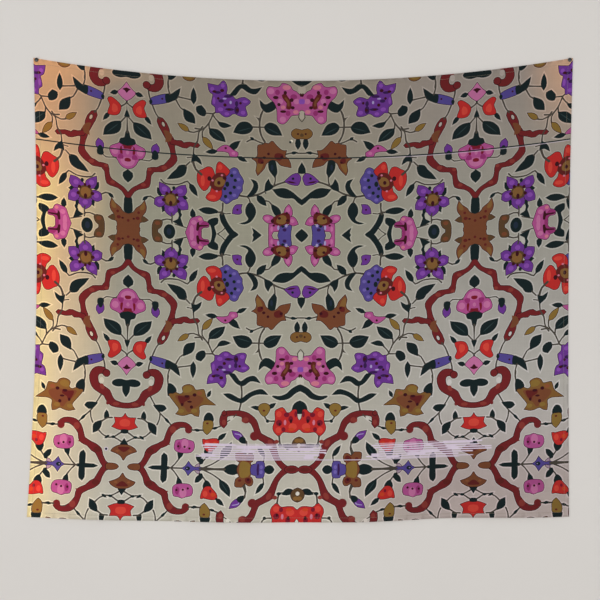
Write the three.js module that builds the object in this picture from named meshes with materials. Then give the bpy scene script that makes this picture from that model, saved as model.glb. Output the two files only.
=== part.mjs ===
// Tapestry wall hanging: a light hemmed cloth held to a wall by a drawing pin in each top corner.
// Millimetres, +Z up, +X to the right as it is seen, +Y into the wall. The origin is midway
// between the two pins, at their height, on the wall's surface.

import * as THREE from 'three';
import { mergeVertices } from 'three/addons/utils/BufferGeometryUtils.js';

// ---- the cloth ----
const clothWidth = 1524;        // finished size, laid flat
const clothHeight = 1295;
const clothThickness = 1.0;     // one layer with the small creases it holds
const hangingSlack = 7.3;       // cloth between the pins is this much longer than their spacing
const bottomShift = -15;        // the lower edge hangs a little to the left
const sideWaist = 11;           // the side edges are drawn in by this at mid height
const bottomBelly = 15;         // the middle of the lower edge hangs below its corners
const bottomLift = 8;           // the right part of the lower edge is drawn up by this
const foldTakeUp = 6;           // height lost in the soft folds
const swagDepth = 5;            // how far the sagging top stands off the wall
const rippleDepth = 8;          // how far the ripples of the lower edge stand off the wall
const rippleCount = 4;

// ---- hems and seams ----
const hemWidth = 15;
const hemThickness = 1.2;       // the two turned-in layers behind the sheet
const seamFromFold = 1.5;       // seam to the hem's inner fold
const threadWidth = 0.6;
const threadThickness = 0.4;

// ---- pinned corners and pins ----
const cornerSize = 30;          // the part of each top corner that stays flat on the wall
const pinFromSide = 9;
const pinFromTop = 4;
const capRadius = 5.8;
const capHeight = 2.4;
const capWall = 0.5;
const capRimDepth = 0.6;        // the straight rim below the dome
const needleRadius = 0.5;
const needleDepthInWall = 8;
const needlePointLength = 2;
const needleHeadRadius = 2.4;
const needleHeadThickness = 0.4;

// ---- fits ----
const clearance = 0.3;          // between pieces that touch on the real hanging
const swingClearance = 0.6;     // between a pinned corner and the cloth that swings past it
const holeClearance = 0.3;      // around a needle, in the cloth

// ---- how finely curves are cut ----
const cellsAcross = 30;
const cellsDown = 20;
const roundSegments = 28;
const needleSegments = 12;
const domeSteps = 7;

// ---- worked out from the sizes above ----
const pinSpacing = clothWidth - 2 * pinFromSide - hangingSlack;
const topSag = Math.sqrt(3 / 8 * hangingSlack * pinSpacing);
const topCornerX = pinSpacing / 2 + pinFromSide;
const hemBack = threadThickness + clearance;
const panelBack = hemBack + hemThickness + clearance;
const panelFront = panelBack + clothThickness;
const cornerThickness = panelFront;
const seamFromEdge = hemWidth - seamFromFold;

const colours = {
  cloth: { color: 0xb1a58c, roughness: 0.85, metalness: 0 },
  hem: { color: 0xc4b9a4, roughness: 0.88, metalness: 0 },
  thread: { color: 0xd8cfba, roughness: 0.7, metalness: 0 },
  cap: { color: 0x151415, roughness: 0.35, metalness: 0 },
  steel: { color: 0xb9bcc0, roughness: 0.25, metalness: 1 },
};

const hanging = new THREE.Group();

function addPiece(name, geometry, finish) {
  const piece = new THREE.Mesh(geometry, new THREE.MeshStandardMaterial(finish));
  piece.name = name;
  hanging.add(piece);
}

// ---- the hanging surface: across and down are shares of the cloth's width and height ----

function sideEdges(down) {
  const spread = down ** 3;
  const drawnIn = sideWaist * Math.sin(Math.PI * down);
  const bottomLeft = bottomShift - clothWidth / 2;
  const bottomRight = bottomShift + clothWidth / 2;
  return {
    left: THREE.MathUtils.lerp(-topCornerX, bottomLeft, spread) + drawnIn,
    right: THREE.MathUtils.lerp(topCornerX, bottomRight, spread) - drawnIn,
  };
}

function topEdgeHeight(x) {
  return pinFromTop - topSag * (1 - (x / (pinSpacing / 2)) ** 2);
}

function bottomEdgeHeight(x) {
  const belly = bottomBelly * (1 - ((x - bottomShift) / (clothWidth / 2)) ** 2);
  const lift = bottomLift * Math.exp(-((((x - bottomShift) / clothWidth - 0.3) / 0.13) ** 2));
  return pinFromTop - (clothHeight - foldTakeUp) - belly + lift;
}

// How far the cloth stands off the wall: nothing at its sides, a swag at the top, ripples below.
function standOff(across, down) {
  const swag = swagDepth * Math.sin(Math.PI * across) * (1 - down);
  const ripple = rippleDepth * down * (0.5 - 0.5 * Math.cos(2 * Math.PI * rippleCount * across));
  return swag + ripple;
}

function clothPoint(across, down, depth) {
  const edges = sideEdges(down);
  const x = THREE.MathUtils.lerp(edges.left, edges.right, across);
  const z = THREE.MathUtils.lerp(topEdgeHeight(x), bottomEdgeHeight(x), down);
  return [x, -depth - standOff(across, down), z];
}

// ---- a closed sheet over a grid of stations, between two depths in front of the wall ----

function sheetSolid(acrossStations, downStations, backDepth, frontDepth, isKept = () => true) {
  const positions = [];
  const triangles = [];
  const columns = acrossStations.length;
  const rows = downStations.length;
  const kept = (i, j) => i >= 0 && j >= 0 && i < columns - 1 && j < rows - 1 && isKept(i, j);
  for (const depth of [frontDepth, backDepth]) {
    for (const down of downStations) {
      for (const across of acrossStations) {
        positions.push(...clothPoint(across, down, depth));
      }
    }
  }
  const front = (i, j) => j * columns + i;
  const back = (i, j) => rows * columns + front(i, j);
  const quad = (a, b, c, d) => triangles.push(a, b, c, a, c, d);
  for (let j = 0; j < rows - 1; j += 1) {
    for (let i = 0; i < columns - 1; i += 1) {
      if (!kept(i, j)) continue;
      quad(front(i, j), front(i, j + 1), front(i + 1, j + 1), front(i + 1, j));
      quad(back(i, j + 1), back(i, j), back(i + 1, j), back(i + 1, j + 1));
      if (!kept(i, j - 1)) quad(front(i + 1, j), back(i + 1, j), back(i, j), front(i, j));
      if (!kept(i, j + 1)) {
        quad(front(i, j + 1), back(i, j + 1), back(i + 1, j + 1), front(i + 1, j + 1));
      }
      if (!kept(i - 1, j)) quad(front(i, j), back(i, j), back(i, j + 1), front(i, j + 1));
      if (!kept(i + 1, j)) {
        quad(front(i + 1, j + 1), back(i + 1, j + 1), back(i + 1, j), front(i + 1, j));
      }
    }
  }
  return closedGeometry(positions, triangles);
}

// Merging also drops the grid points that no kept cell uses.
function closedGeometry(positions, triangles) {
  const indexed = new THREE.BufferGeometry();
  indexed.setAttribute('position', new THREE.Float32BufferAttribute(positions, 3));
  indexed.setIndex(triangles);
  return mergeVertices(indexed.toNonIndexed());
}

// Shares of a length: both edges, the given distances in from each end, and even steps between.
function stations(length, cells, fromStart, fromEnd) {
  const start = fromStart.at(-1);
  const end = length - fromEnd.at(-1);
  const places = [0, ...fromStart.slice(0, -1)];
  for (let i = 0; i <= cells; i += 1) {
    places.push(THREE.MathUtils.lerp(start, end, i / cells));
  }
  for (const distance of fromEnd.slice(0, -1).reverse()) places.push(length - distance);
  places.push(length);
  return places.map((place) => place / length);
}

const notch = cornerSize + swingClearance;
const panelAcross = stations(clothWidth, cellsAcross, [hemWidth, notch], [hemWidth, notch]);
const panelDown = stations(clothHeight, cellsDown, [hemWidth, notch], [hemWidth]);

const inNotch = (share, length) => share * length < notch - clearance;

function addPanel() {
  const lastAcross = panelAcross.length - 1;
  const isKept = (i, j) => {
    const nearTop = inNotch(panelDown[j], clothHeight);
    const nearLeft = inNotch(panelAcross[i], clothWidth);
    const nearRight = inNotch(1 - panelAcross[Math.min(i + 1, lastAcross)], clothWidth);
    return !(nearTop && (nearLeft || nearRight));
  };
  addPiece('cloth_panel', sheetSolid(panelAcross, panelDown, panelBack, panelFront, isKept),
    colours.cloth);
}

// ---- hems: strips turned to the back along each edge, and the seam's two threads on each ----

const acrossBetweenNotches = panelAcross.slice(2, -2);
const downBelowNotch = panelDown.slice(2, -1);
const hemAcross = hemWidth / clothWidth;
const hemDown = hemWidth / clothHeight;
const seamAcross = seamFromEdge / clothWidth;
const seamDown = seamFromEdge / clothHeight;

function threadBand(centre, length) {
  const half = threadWidth / 2 / length;
  return [centre - half, centre + half];
}

function endingBefore(list, limit) {
  return [...list.filter((share) => share < limit), limit];
}

function addHem(side, across, down, seamAcrossList, seamDownList) {
  addPiece(`hem_${side}`, sheetSolid(across, down, hemBack, hemBack + hemThickness), colours.hem);
  const needleThreadBack = panelFront + clearance;
  addPiece(`needle_thread_${side}`,
    sheetSolid(seamAcrossList, seamDownList, needleThreadBack, needleThreadBack + threadThickness),
    colours.thread);
  addPiece(`bobbin_thread_${side}`,
    sheetSolid(seamAcrossList, seamDownList, 0, threadThickness), colours.thread);
}

function addHems() {
  const sideHemEnd = 1 - (hemWidth + clearance) / clothHeight;
  const sideSeamEnd = 1 - (seamFromEdge + threadWidth) / clothHeight;
  const sideHemDown = endingBefore(downBelowNotch, sideHemEnd);
  const sideSeamDown = endingBefore(downBelowNotch, sideSeamEnd);
  addHem('top', acrossBetweenNotches, [0, hemDown],
    acrossBetweenNotches, threadBand(seamDown, clothHeight));
  addHem('bottom', panelAcross, [1 - hemDown, 1],
    panelAcross, threadBand(1 - seamDown, clothHeight));
  addHem('left', [0, hemAcross], sideHemDown,
    threadBand(seamAcross, clothWidth), sideSeamDown);
  addHem('right', [1 - hemAcross, 1], sideHemDown,
    threadBand(1 - seamAcross, clothWidth), sideSeamDown);
}

// ---- flat plates parallel to the wall, cut from an outline in X and Z ----

function wallPlate(outline, backDepth, frontDepth, hole = null) {
  const points = outline.map(([x, z]) => new THREE.Vector2(x, z));
  if (THREE.ShapeUtils.isClockWise(points)) points.reverse();
  const shape = new THREE.Shape(points);
  if (hole) shape.holes.push(roundHole(hole));
  const plate = new THREE.ExtrudeGeometry(shape, {
    depth: frontDepth - backDepth, bevelEnabled: false,
  });
  plate.rotateX(Math.PI / 2);
  plate.translate(0, -backDepth, 0);
  return plate;
}

function roundHole({ x, z, radius }) {
  const points = [];
  for (let i = 0; i < needleSegments; i += 1) {
    const angle = -2 * Math.PI * i / needleSegments;
    points.push(new THREE.Vector2(x + radius * Math.cos(angle), z + radius * Math.sin(angle)));
  }
  return new THREE.Path(points);
}

// Where the flat cloth's point this far from its side and top edges hangs, in X and Z.
function cornerPoint(sign, fromSide, fromTop) {
  const share = fromSide / clothWidth;
  const [x, , z] = clothPoint(sign < 0 ? share : 1 - share, fromTop / clothHeight, 0);
  return [x, z];
}

// The cloth that the pin holds flat: every layer of the two hems, with the needle's hole.
function addPinnedCorner(side, sign) {
  const outline = [
    cornerPoint(sign, 0, 0), cornerPoint(sign, cornerSize, 0),
    cornerPoint(sign, cornerSize, cornerSize), cornerPoint(sign, 0, cornerSize),
  ];
  const hole = { x: sign * pinSpacing / 2, z: 0, radius: needleRadius + holeClearance };
  addPiece(`pinned_corner_${side}`, wallPlate(outline, 0, cornerThickness, hole), colours.hem);
}

// The ends of the top and side seams, which meet below the pin.
function addCornerStitching(side, sign) {
  const outer = seamFromEdge - threadWidth / 2;
  const inner = seamFromEdge + threadWidth / 2;
  const end = cornerSize - threadWidth;
  const outline = [
    [threadWidth, outer], [end, outer], [end, inner], [inner, inner],
    [inner, end], [outer, end], [outer, inner], [threadWidth, inner],
  ].map(([fromSide, fromTop]) => cornerPoint(sign, fromSide, fromTop));
  const back = cornerThickness + clearance;
  addPiece(`corner_stitching_${side}`, wallPlate(outline, back, back + threadThickness),
    colours.thread);
}

// ---- drawing pins: a domed cap, and a needle whose flat head is pressed up inside it ----

const capBack = cornerThickness + clearance;
const domeHeight = capHeight - capRimDepth;
const domeRadius = (capRadius ** 2 + domeHeight ** 2) / (2 * domeHeight);

// Points on the dome at this distance outside its underside, from the axis out to the rim.
function domeArc(inset) {
  const radius = domeRadius - inset;
  const centreDepth = capBack + capHeight - domeRadius;
  const reach = Math.asin((capRadius - inset) / radius);
  const arc = [];
  for (let i = 0; i <= domeSteps; i += 1) {
    const angle = reach * i / domeSteps;
    arc.push(new THREE.Vector2(
      i === 0 ? 0 : radius * Math.sin(angle),
      -(centreDepth + radius * Math.cos(angle)),
    ));
  }
  return arc;
}

function addPin(side, sign) {
  const outer = domeArc(0);
  const inner = domeArc(capWall);
  const rim = [
    new THREE.Vector2(capRadius, -capBack),
    new THREE.Vector2(capRadius - capWall, -capBack),
  ];
  const cap = new THREE.LatheGeometry([...outer, ...rim, ...inner.reverse()], roundSegments);
  const headFront = capBack + capHeight - capWall - clearance - domeDropAt(needleHeadRadius);
  const needle = new THREE.LatheGeometry([
    new THREE.Vector2(0, -headFront),
    new THREE.Vector2(needleHeadRadius, -headFront),
    new THREE.Vector2(needleHeadRadius, -headFront + needleHeadThickness),
    new THREE.Vector2(needleRadius, -headFront + needleHeadThickness),
    new THREE.Vector2(needleRadius, needleDepthInWall - needlePointLength),
    new THREE.Vector2(0, needleDepthInWall),
  ], needleSegments);
  for (const geometry of [cap, needle]) geometry.translate(sign * pinSpacing / 2, 0, 0);
  addPiece(`pin_cap_${side}`, cap, colours.cap);
  addPiece(`pin_needle_${side}`, needle, colours.steel);
}

// How far the dome falls away from its crown at this radius.
function domeDropAt(radius) {
  return domeRadius - Math.sqrt(domeRadius ** 2 - radius ** 2);
}

addPanel();
addHems();
for (const [side, sign] of [['left', -1], ['right', 1]]) {
  addPinnedCorner(side, sign);
  addCornerStitching(side, sign);
  addPin(side, sign);
}

export default hanging;
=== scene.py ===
import itertools
import math

import bmesh
import bpy
import numpy as np
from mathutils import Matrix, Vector
from mathutils.geometry import delaunay_2d_cdt


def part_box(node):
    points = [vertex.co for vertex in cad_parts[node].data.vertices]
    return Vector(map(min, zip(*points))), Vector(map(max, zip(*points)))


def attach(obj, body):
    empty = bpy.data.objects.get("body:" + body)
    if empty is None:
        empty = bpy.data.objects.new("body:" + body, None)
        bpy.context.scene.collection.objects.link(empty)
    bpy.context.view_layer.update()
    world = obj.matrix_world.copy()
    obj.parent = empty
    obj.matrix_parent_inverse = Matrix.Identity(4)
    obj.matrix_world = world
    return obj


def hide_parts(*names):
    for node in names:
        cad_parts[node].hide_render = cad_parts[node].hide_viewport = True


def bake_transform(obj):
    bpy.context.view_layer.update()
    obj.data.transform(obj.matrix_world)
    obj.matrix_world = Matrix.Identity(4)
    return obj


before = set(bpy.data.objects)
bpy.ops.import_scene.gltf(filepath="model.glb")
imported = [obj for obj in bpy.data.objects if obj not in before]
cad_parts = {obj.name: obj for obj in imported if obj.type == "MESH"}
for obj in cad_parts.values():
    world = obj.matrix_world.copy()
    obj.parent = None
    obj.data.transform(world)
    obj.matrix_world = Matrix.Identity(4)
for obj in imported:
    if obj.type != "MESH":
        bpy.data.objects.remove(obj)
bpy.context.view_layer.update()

bl_info = {
    "name": "Tapestry Wall Hanging",
    "version": (1, 0, 0),
    "blender": (4, 5, 0),
    "location": "3D View > Sidebar > Hanging",
    "description": "Builds a printed cloth wall hanging that hangs from two drawing pins",
    "category": "Add Mesh",
}

MM = 0.001

# ---------------------------------------------------------------- sizes and colours


def length(name, description, default, low=0.0):
    return bpy.props.FloatProperty(name=name, description=description, default=default * MM, min=low,
                                   unit="LENGTH", subtype="DISTANCE", precision=4)


def share(name, description, default):
    return bpy.props.FloatProperty(name=name, description=description, default=default, min=0.0, max=1.0,
                                   subtype="FACTOR")


def count(name, description, default):
    return bpy.props.IntProperty(name=name, description=description, default=default, min=1)


def linear(code):
    """The linear red, green and blue of a colour written as a web colour."""
    parts = [int(code[place:place + 2], 16) / 255 for place in (0, 2, 4)]
    return tuple(part / 12.92 if part <= 0.04045 else ((part + 0.055) / 1.055) ** 2.4 for part in parts)


def colour(name, description, code):
    return bpy.props.FloatVectorProperty(name=name, description=description, default=linear(code), size=3,
                                         min=0.0, max=1.0, subtype="COLOR")


class HangingSizes(bpy.types.PropertyGroup):
    """Sizes of the cloth, its hems, its seams and the way it hangs."""
    width: length("Cloth width", "Finished width of the cloth", 1524)
    height: length("Cloth height", "Finished height of the cloth", 1295)
    slack: length("Slack", "Cloth between the pins beyond a straight line", 7.3)
    pin_side: length("Pin from side", "Pin's distance from the side edge", 9)
    pin_top: length("Pin from top", "Pin's distance from the top edge", 4)
    shift: length("Bottom shift", "How far the lower edge hangs to one side", -15, -1.0)
    waist: length("Side waist", "How far each side curves in halfway down", 11)
    belly: length("Bottom belly", "How far the lower edge curves down", 15)
    lift: length("Bottom lift", "How far the right part of the lower edge is drawn up", 8)
    take_up: length("Take-up", "Height lost in the soft folds", 6)
    swag: length("Swag depth", "How far the top stands off between the pins", 5)
    ripple: length("Ripple depth", "Depth of the waves along the lower edge", 8)
    ripples: count("Ripples", "Number of waves along the lower edge", 4)
    crease: length("Crease depth", "Depth of the faint creases in the cloth", 1.1)
    front: length("Front depth", "Distance of the printed face from the wall plane", 3.2)
    back: length("Back depth", "Distance of the panel's back from the wall plane", 2.2)
    hem_back: length("Hem depth", "Distance of the hem's back from the wall plane", 0.7)
    hem: length("Hem width", "Width of the folded hem", 15)
    seam: length("Seam from edge", "Distance of the stitching from the edge", 13.5)
    stitch: length("Stitch pitch", "Distance from one stitch to the next", 3.2)
    thread: length("Thread width", "Width of a sewn stitch", 0.75)
    corner: length("Pinned corner", "Side of the corner that each pin holds to the wall", 30)


class PrintSizes(bpy.types.PropertyGroup):
    """Sizes of the printed repeat."""
    across: length("Repeat across", "Half of the repeat, between two mirror lines", 497)
    down: length("Repeat down", "Half of the repeat, between two mirror lines", 671)
    side_line: share("Side mirror line", "Place of the first upright mirror line", 0.172)
    side_pitch: share("Mirror line pitch", "Distance between upright mirror lines", 0.3255)
    upper_line: share("Upper mirror line", "Place of the upper level mirror line", 0.35)
    level_pitch: share("Level pitch", "Distance between level mirror lines", 0.531)
    halo: length("Resist line", "Width of the pale line round each printed shape", 3.4)
    outline: length("Key line", "Width of the dark line round each coloured shape", 1.6)
    chord: length("Outline step", "Longest straight step along an outline", 6.6)
    grid: length("Mesh step", "Distance between the mesh points of plain cloth", 24)


class PrintInks(bpy.types.PropertyGroup):
    """Colours of the print, the wall and the fittings."""
    ground: colour("Ground", "Plain cloth", "B4AE9B")
    halo: colour("Resist line", "Pale line round each shape", "CCC5B3")
    leaf: colour("Leaf", "Blackish teal of the leaves", "122022")
    leaf_vein: colour("Leaf vein", "Lighter line along a leaf", "2C3E40")
    stem: colour("Stem", "Grey-brown of the stems", "454039")
    scroll: colour("Scroll", "Dark red of the scrolls", "6C2023")
    scroll_light: colour("Scroll light", "Lighter spot in the scrolls", "82352F")
    wine: colour("Wine", "Darkest red", "3A0F18")
    maple: colour("Maple", "Pointed ochre-brown flowers", "78552C")
    brown: colour("Brown", "Brown flowers", "71422A")
    tan: colour("Tan", "Lit middle of the brown flowers", "7E5A31")
    umber: colour("Umber", "Dark brown-olive shapes", "563F28")
    wine_red: colour("Wine red", "Folds of the red and pink flowers", "761528")
    leaf_blue: colour("Leaf blue", "Blue light on the dark leaves", "1F2B3B")
    purple_light: colour("Light purple", "Lit purple petals", "8249A6")
    violet_light: colour("Light violet", "Lit violet petals", "6C5EA6")
    mauve: colour("Mauve", "Soft mauve joint of the spray", "A08A9C")
    brown_light: colour("Light brown", "Lit side of the brown flowers", "864F31")
    brown_red: colour("Red-brown", "Shaded side of the brown flowers", "5C1F1D")
    purple: colour("Purple", "Purple flowers", "66348A")
    purple_dark: colour("Dark purple", "Folds of the purple flowers", "351A4C")
    violet: colour("Violet", "Blue-violet shapes", "50448A")
    lavender: colour("Lavender", "Pale violet streaks", "A093C2")
    pink: colour("Pink", "Pink flowers", "A84E88")
    pink_light: colour("Light pink", "Lit petals", "BC6C9A")
    rose: colour("Rose", "Deeper pink petals", "8E2F6A")
    rose_light: colour("Light rose", "Lit rose petals", "C67489")
    red: colour("Red", "Red flowers", "B62A28")
    red_light: colour("Light red", "Lit red petals", "CC4337")
    red_orange: colour("Orange-red", "Warm red petals", "BE3F23")
    ochre: colour("Ochre", "Ochre buds", "826630")
    key: colour("Key line", "Dark line round the coloured shapes", "2C1417")
    # Painted yellow light along the left edge of the cloth.
    painted_yellow_light: colour("Painted edge light", "Yellow tone along the left edge", "F4DC90")
    streak: colour("Streak", "Pale violet stripes of the printing fault", "CDC0D2")
    # Painted amber light in the upper corners of the cloth.
    painted_amber_light: colour("Painted amber light", "Amber tone in the upper corners", "EBAF7B")
    thread: colour("Thread", "Sewing thread", "8E8572")
    enamel: colour("Enamel", "Black enamel of the pin caps", "0E0E10")
    steel: colour("Steel", "Needles of the pins", "B9BBBF")
    plaster: colour("Plaster", "Painted wall", "D8D5D2")
    floor: colour("Floor", "Plain floor", "DCDAD6")


def sizes():
    return bpy.context.scene.hanging_sizes


def prints():
    return bpy.context.scene.hanging_prints


def inks():
    return bpy.context.scene.hanging_inks


# ---------------------------------------------------------------- the hanging surface


def mix(low, high, part):
    return low + (high - low) * part


def hang(across, down, depth, stand_off=True):
    """Where a point of the cloth hangs. across and down run from 0 to 1, depth is from the wall."""
    s = sizes()
    across = np.asarray(across, float)
    down = np.asarray(down, float)
    spacing = s.width - 2 * s.pin_side - s.slack
    sag = math.sqrt(3 / 8 * s.slack * spacing)
    half = spacing / 2
    corner = half + s.pin_side
    left = mix(-corner, s.shift - s.width / 2, down ** 3) + s.waist * np.sin(math.pi * down)
    right = mix(corner, s.shift + s.width / 2, down ** 3) - s.waist * np.sin(math.pi * down)
    x = mix(left, right, across)
    top = s.pin_top - sag * (1 - (x / half) ** 2)
    bottom_line = s.pin_top - (s.height - s.take_up)
    bottom = bottom_line - s.belly * (1 - ((x - s.shift) / (s.width / 2)) ** 2)
    lift = s.lift * np.exp(-(((x - s.shift) / s.width - 0.3) / 0.13) ** 2)
    z = mix(top, bottom, down) + lift * down ** 5
    off = s.swag * np.sin(math.pi * across) * (1 - down)
    off = off + s.ripple * down * (0.5 - 0.5 * np.cos(2 * math.pi * s.ripples * across))
    if stand_off:
        off = off + creases(across, down)
    return np.stack([x, -np.asarray(depth, float) - off + 0 * x, z], axis=-1)


def creases(across, down):
    """Faint creases: fold lines from the packing, pulls from the pins and soft unevenness."""
    s = sizes()
    still = np.clip(np.minimum(across * s.width, (1 - across) * s.width) / (60 * MM), 0, 1)
    still = np.where(down * s.height < 60 * MM, still * np.clip(down * s.height / (60 * MM), 0.15, 1), still)
    soft = np.sin(9.1 * across + 3 * np.sin(5.3 * down)) * np.sin(7.3 * down + 2.1 * np.sin(6.7 * across))
    fine = np.sin(31 * across + 4 * np.sin(11 * down)) * np.sin(23 * down + 3 * np.sin(17 * across))
    pulls = 0
    for side in (across, 1 - across):
        reach = np.hypot(side, down)
        angle = np.arctan2(down, side + 1e-6)
        pulls = pulls + np.exp(-((reach - 0.16) / 0.13) ** 2) * np.sin(angle * 17)
    return s.crease * still * (0.9 + 0.8 * soft + 0.45 * fine + 0.7 * pulls)


# ---------------------------------------------------------------- outlines for the print


LEAF_GROWTH = 1.1


class Tip(tuple):
    """A sharp corner of an outline."""


def tip(across, down):
    return Tip((across, down))


def between(before, here, after, beyond, part):
    """A point on the smooth curve from here to after."""
    p0, p1, p2, p3 = (np.array(p, float) for p in (before, here, after, beyond))
    if isinstance(here, Tip):
        p0 = 2 * p1 - p2
    if isinstance(after, Tip):
        p3 = 2 * p2 - p1
    return 0.5 * (2 * p1 + (p2 - p0) * part + (2 * p0 - 5 * p1 + 4 * p2 - p3) * part ** 2
                  + (3 * p1 - p0 - 3 * p2 + p3) * part ** 3)


def pairs(numbers):
    """Places from numbers that run across, down, across, down; a tip is a place already."""
    rest = iter(numbers)
    return [number if isinstance(number, Tip) else (number, next(rest)) for number in rest]


def steps_for(start, end, chord=None):
    chord = chord or prints().chord / MM
    return max(1, round(math.dist(start, end) / chord))


def blob(places):
    """A closed outline, round between its points and sharp at its tips."""
    outline = []
    total = len(places)
    for index in range(total):
        around = [places[(index + step) % total] for step in (-1, 0, 1, 2)]
        steps = steps_for(around[1], around[2])
        if steps == 1 and not isinstance(around[1], Tip) and math.dist(around[1], around[2]) > 3.5:
            steps = 2
        outline += [between(*around, part=step / steps) for step in range(steps)]
    return np.array(outline)


def curve(places, chord=None):
    """An open smooth line through its points, with the share of each step."""
    line = []
    reach = len(places) - 1
    for index in range(reach):
        around = [places[min(max(index + step, 0), reach)] for step in (-1, 0, 1, 2)]
        steps = steps_for(around[1], around[2], chord)
        line += [(index + step / steps, between(*around, part=step / steps)) for step in range(steps)]
    line.append((reach, np.array(places[-1], float)))
    return line


def ribbon(stations):
    """A band with rounded ends through its stations, which hold across, down and the width there."""
    line = curve([station[:2] for station in stations], 6 if stations[0][2] > 9 else 10)
    given = [station[2] for station in stations]
    widths = np.interp([at for at, place in line], range(len(given)), given)
    middle = np.array([place for at, place in line])
    along = np.gradient(middle, axis=0)
    along /= np.linalg.norm(along, axis=1)[:, None] + 1e-9
    side = np.stack([-along[:, 1], along[:, 0]], axis=1) * widths[:, None] / 2
    nose = middle[-1] + along[-1] * widths[-1] / 2
    tail = middle[0] - along[0] * widths[0] / 2
    return np.vstack([tail, middle + side, nose, (middle - side)[::-1]])


def leaf(base, end, width, belly=0.42):
    """A leaf shape from its base to its tip, widest at its belly."""
    base, end = np.array(base, float), np.array(end, float)
    along = end - base
    reach = np.linalg.norm(along) + 1e-9
    side = np.array([-along[1], along[0]]) / reach * width / 2
    steps = max(3, round(reach / 9))
    parts = np.arange(1, steps) / steps
    bulge = np.sin(math.pi * parts ** (math.log(0.5) / math.log(belly))) ** 0.8
    rise = base + parts[:, None] * along
    return np.vstack([base, rise + bulge[:, None] * side, end, (rise - bulge[:, None] * side)[::-1]])


def disc(place, across, along=None, turn=0):
    """An oval of these half widths."""
    along = along or across
    steps = int(min(18, max(7, round(2 * math.pi * max(across, along) / 5.5))))
    angles = np.arange(steps) / steps * 2 * math.pi
    oval = np.stack([across * np.cos(angles), along * np.sin(angles)], axis=1)
    cosine, sine = math.cos(math.radians(turn)), math.sin(math.radians(turn))
    return oval @ np.array([[cosine, sine], [-sine, cosine]]) + np.array(place, float)


def grown(outline, by):
    """An outline moved outwards by a distance."""
    before, after = np.roll(outline, 1, axis=0), np.roll(outline, -1, axis=0)
    area = np.sum(outline[:, 0] * after[:, 1] - after[:, 0] * outline[:, 1])
    into, out = outline - before, after - outline
    into /= np.linalg.norm(into, axis=1)[:, None] + 1e-9
    out /= np.linalg.norm(out, axis=1)[:, None] + 1e-9
    normal = np.stack([into[:, 1] + out[:, 1], -into[:, 0] - out[:, 0]], axis=1)
    size = np.linalg.norm(normal, axis=1)
    normal /= (size * np.clip(size, 0.9, 2) / 2)[:, None] + 1e-9
    return outline + normal * (by if area > 0 else -by)


class Artwork:
    """The layers of the print in one cell of the repeat, from the bottom up, in millimetres.

    Each drawing word takes the ink and then one row of numbers for each shape.
    """

    def __init__(self, simple=False):
        self.halos = []
        self.layers = []
        self.simple = simple

    def lay(self, outline, ink):
        """A shape with its pale halo and, round a coloured one, its dark key line."""
        if self.simple:
            self.layers.append((outline[::2] if len(outline) > 12 else outline, ink))
            return
        if ink == "leaf":
            outline = grown(outline, LEAF_GROWTH)
        self.halos.append((grown(outline, prints().halo / MM), "halo"))
        if ink not in ("leaf", "halo", "stem"):
            self.layers.append((grown(outline, prints().outline / MM), "key"))
        self.layers.append((outline, ink))

    def touch(self, outline, ink):
        """A smaller area of another ink over a shape."""
        if not self.simple:
            self.layers.append((outline, ink))

    def stem(self, width, *lines):
        """Thin stems through their places, a little uneven in width."""
        for numbers in () if self.simple else lines:
            widths = itertools.cycle((1.2 * width, 0.95 * width))
            band = ribbon([(*place, wide) for place, wide in zip(pairs(numbers), widths)])
            self.halos.append((grown(band, prints().halo / MM * 0.8), "halo"))
            self.layers.append((band, "stem"))

    def shape(self, ink, *outlines):
        for numbers in outlines:
            self.lay(blob(pairs(numbers)), ink)

    def mark(self, ink, *outlines):
        for numbers in outlines:
            self.touch(blob(pairs(numbers)), ink)

    def band(self, ink, *stations):
        self.lay(ribbon(stations), ink)

    def stroke(self, ink, *stations):
        self.touch(ribbon(stations), ink)

    def discs(self, ink, *discs):
        """Ovals with a halo, each given by its place, half widths and turn."""
        for across, down, *half in discs:
            self.lay(disc((across, down), *half), ink)

    def dots(self, ink, *dots):
        for across, down, *half in dots:
            self.touch(disc((across, down), *half), ink)

    def leaves(self, ink, *leaves):
        """Leaves with a halo, each given by its base, its end, its width and the place of its belly."""
        for across, down, to_across, to_down, *width in leaves:
            self.lay(leaf((across, down), (to_across, to_down), *width), ink)

    def veins(self, ink, *veins):
        for across, down, to_across, to_down, *width in veins:
            self.touch(leaf((across, down), (to_across, to_down), *width), ink)

    def all_layers(self):
        return self.halos + self.layers


# ---------------------------------------------------------------- the printed shapes


def draw_axis_star(art):
    """The brown star where the two mirror lines cross, with ears toward each corner."""
    art.shape("brown", (-20, -2, 30, -2, 31, 8, 34, 20, 46, 22, tip(57, 28), 46, 36, 40, 38, 49, 50, 52, 64,
        tip(47, 82), 38, 70, 22, 58, 12, 45, -20, 45))
    art.mark("umber", (38, 22, 46, 22, tip(56, 28), 46, 35, 38, 36))
    art.mark("tan", (34, 56, 44, 56, 48, 66, 45, 78, 36, 66))
    art.dots("brown_red", (16, 29, 4, 3), (27, 31, 6, 5), (30, 47, 4, 4), (0, 23, 4, 4))
    art.dots("wine", (16, 29, 3, 2))
    art.shape("leaf", (-16, 46, 9, 46, 12, 60, 11, 74, 8, 90, -15, 92))


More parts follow.
